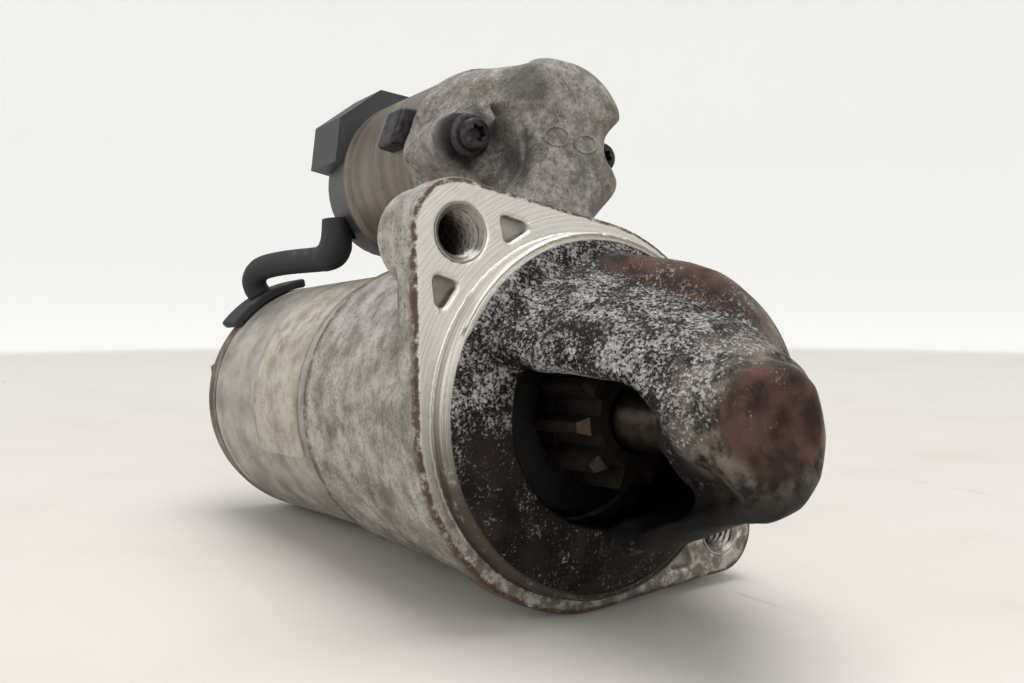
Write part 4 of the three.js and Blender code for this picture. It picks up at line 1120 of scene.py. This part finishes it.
def make_solenoid_ears():
    """The can's lug on the near side and its threaded ear on the far side."""
    lug = [(-27.4, -1.0), (-19.0, -1.5), (-17.5, 9.6), (-25.2, 8.8)]
    points = [from_solenoid(x, v, w) for x in (-59.5, CASE_FRONT - 0.6) for v, w in lug]
    faces = [(3, 2, 1, 0), (4, 5, 6, 7)] + [(i, (i + 1) % 4, (i + 1) % 4 + 4, i + 4) for i in range(4)]
    rounded(make_piece("solenoid_lug_near", points, faces, looks["bolt_steel"]), 1.1, 4)
    v, w, _ = FAR_BOLT
    points, steps, r, root = [], 20, 6.2, 12.4
    for x in (CASE_FRONT - 6.8, CASE_FRONT - 0.1):
        for i in range(steps):
            a = -pi / 2 + pi * i / (steps - 1)
            points.append(from_solenoid(x, v + r * cos(a), w + r * sin(a)))
        points.append(from_solenoid(x, root, w + r))
        points.append(from_solenoid(x, root, w - r))
    count = steps + 2
    faces = [tuple(range(count)), tuple(range(2 * count - 1, count - 1, -1))]
    faces += [(i, i + count, (i + 1) % count + count, (i + 1) % count) for i in range(count)]
    rounded(make_piece("solenoid_ear_far", points, faces, looks["bolt_steel"]), 0.8, 3)


def swept(path, radii):
    """Points and faces of a closed round bar along a smooth path whose radius changes."""
    sides, fine = 24, 10
    spots = [Vector(p) for p in path]
    ends = [spots[0] * 2 - spots[1]] + spots + [spots[-1] * 2 - spots[-2]]
    centres, widths = [], []
    for k in range(len(spots) - 1):
        a, b, c, d = ends[k:k + 4]
        for i in range(fine + (k == len(spots) - 2)):
            t = i / fine
            centres.append(0.5 * (2 * b + (c - a) * t + (2 * a - 5 * b + 4 * c - d) * t ** 2
                                  + (3 * b - a - 3 * c + d) * t ** 3))
            widths.append(radii[k] + (radii[k + 1] - radii[k]) * t)
    points, faces = [], []
    side = Vector((0, 1, 0))
    for k, (centre, width) in enumerate(zip(centres, widths)):
        along = (centres[min(k + 1, len(centres) - 1)] - centres[max(k - 1, 0)]).normalized()
        side = (side - along * side.dot(along)).normalized()
        other = along.cross(side)
        for i in range(sides):
            a = 2 * pi * i / sides
            points.append(tuple(centre + (side * cos(a) + other * sin(a)) * width))
    for k in range(len(centres) - 1):
        for i in range(sides):
            j = (i + 1) % sides
            faces.append((k * sides + i, k * sides + j, (k + 1) * sides + j, (k + 1) * sides + i))
    faces.append(tuple(reversed(range(sides))))
    faces.append(tuple(range(len(points) - sides, len(points))))
    return points, faces


def make_lead():
    """The short motor lead on its route from the grommet to the boot, and the boot that wraps its end."""
    lead_r = 3.7
    route = [(-140, -16.9, 34.6), (-140.1, -17.9, 36.8), (-139.3, -18.3, 39), (-136.8, -17.8, 41.2),
             (-132.6, -16.6, 42.4), (-124, -13.8, 42.8), (-115, -10.6, 42.6), (-109, -8.6, 42.4),
             (-105, -8.2, 42.4)]
    points, faces = swept(route, [lead_r] * len(route))
    make_piece("motor_lead_cable", points, faces, looks["rubber"], ["motor_lead"], sharp=60)
    boot = [(-107.5, -8.4, 42.5), (-105, -8.2, 42.9), (-102, -8, 43.6), (-100, -7.8, 45.4),
            (-99.3, -7.6, 48.5), (-99.4, -7.4, 53)]
    points, faces = swept(boot, [4.0, 4.3, 4.6, 4.7, 4.3, 3.8])
    make_piece("lead_boot_rubber", points, faces, looks["rubber"], ["lead_boot"], sharp=60)


def make_cap():
    """The moulded cap, tapering towards its end, with its connector shroud."""
    piece = cad_copy("solenoid_cap", "solenoid_cap_shell", looks["black_plastic"])
    y, z = (c * MM for c in solenoid_centre())
    for vertex in piece.data.vertices:
        from_axis = hypot(vertex.co.y - y, vertex.co.z - z)
        if from_axis < (CAP_R + 0.1) * MM:
            along = max(0.0, (CASE_REAR - vertex.co.x / MM) / (CASE_REAR - CAP_END))
            shrink = 1 - 0.15 * along
            vertex.co.y = y + (vertex.co.y - y) * shrink
            vertex.co.z = z + (vertex.co.z - z) * shrink
    rounded(piece, 0.5)


def rounded_copies():
    """CAD nodes whose shape is right, kept with softened edges."""
    for node, name, look, edge, body in (
        ("pinion", "pinion_gear", "rusted_steel", 0.25, "pinion"),
        ("drive_shaft", "output_shaft_steel", "machined_steel", 0.15, "output_shaft"),
        ("stop_collar", "stop_collar_ring", "rusted_steel", 0.2, "output_shaft"),
        ("lead_grommet", "lead_grommet_rubber", "rubber", 0.8, "housing"),
        ("battery_nut", "battery_nut_hex", "plated_steel", 0.35, "housing"),
        ("through_bolt_upper", "through_bolt_upper_hex", "plated_steel", 0.3, "housing"),
        ("through_bolt_lower", "through_bolt_lower_hex", "plated_steel", 0.3, "housing"),
    ):
        cad_copy(node, name, looks[look], edge, body)


def finish_cad_nodes():
    """Every CAD node that stays gets its slot's material, except the clutch shell, which gets the near-black
    greasy steel as painted shade in the bore behind the pinion.
    """
    for node, thing in nodes.items():
        thing.data.materials.clear()
        # the clutch shell is painted near black as shade in the bore behind the pinion
        look = "greasy_steel" if node == "clutch_shell" else slots[node]
        thing.data.materials.append(looks[look])


make_camera()
make_lights()
make_floor()
slots = {part["node"]: part["material_slot"] for part in frame["record"]["subparts"]}
looks = make_looks()
finish_cad_nodes()
skin = make_casting()
make_threads()
make_bolts()
oval_mark("casting_mark_1", skin, 7.7, 60.8, 3.5, 2.1)
oval_mark("casting_mark_2", skin, 15.6, 59.2, 3.2, 2.0)
make_yoke()
make_label()
make_rear_cover()
make_solenoid_can()
make_solenoid_ears()
make_lead()
make_cap()
rounded_copies()
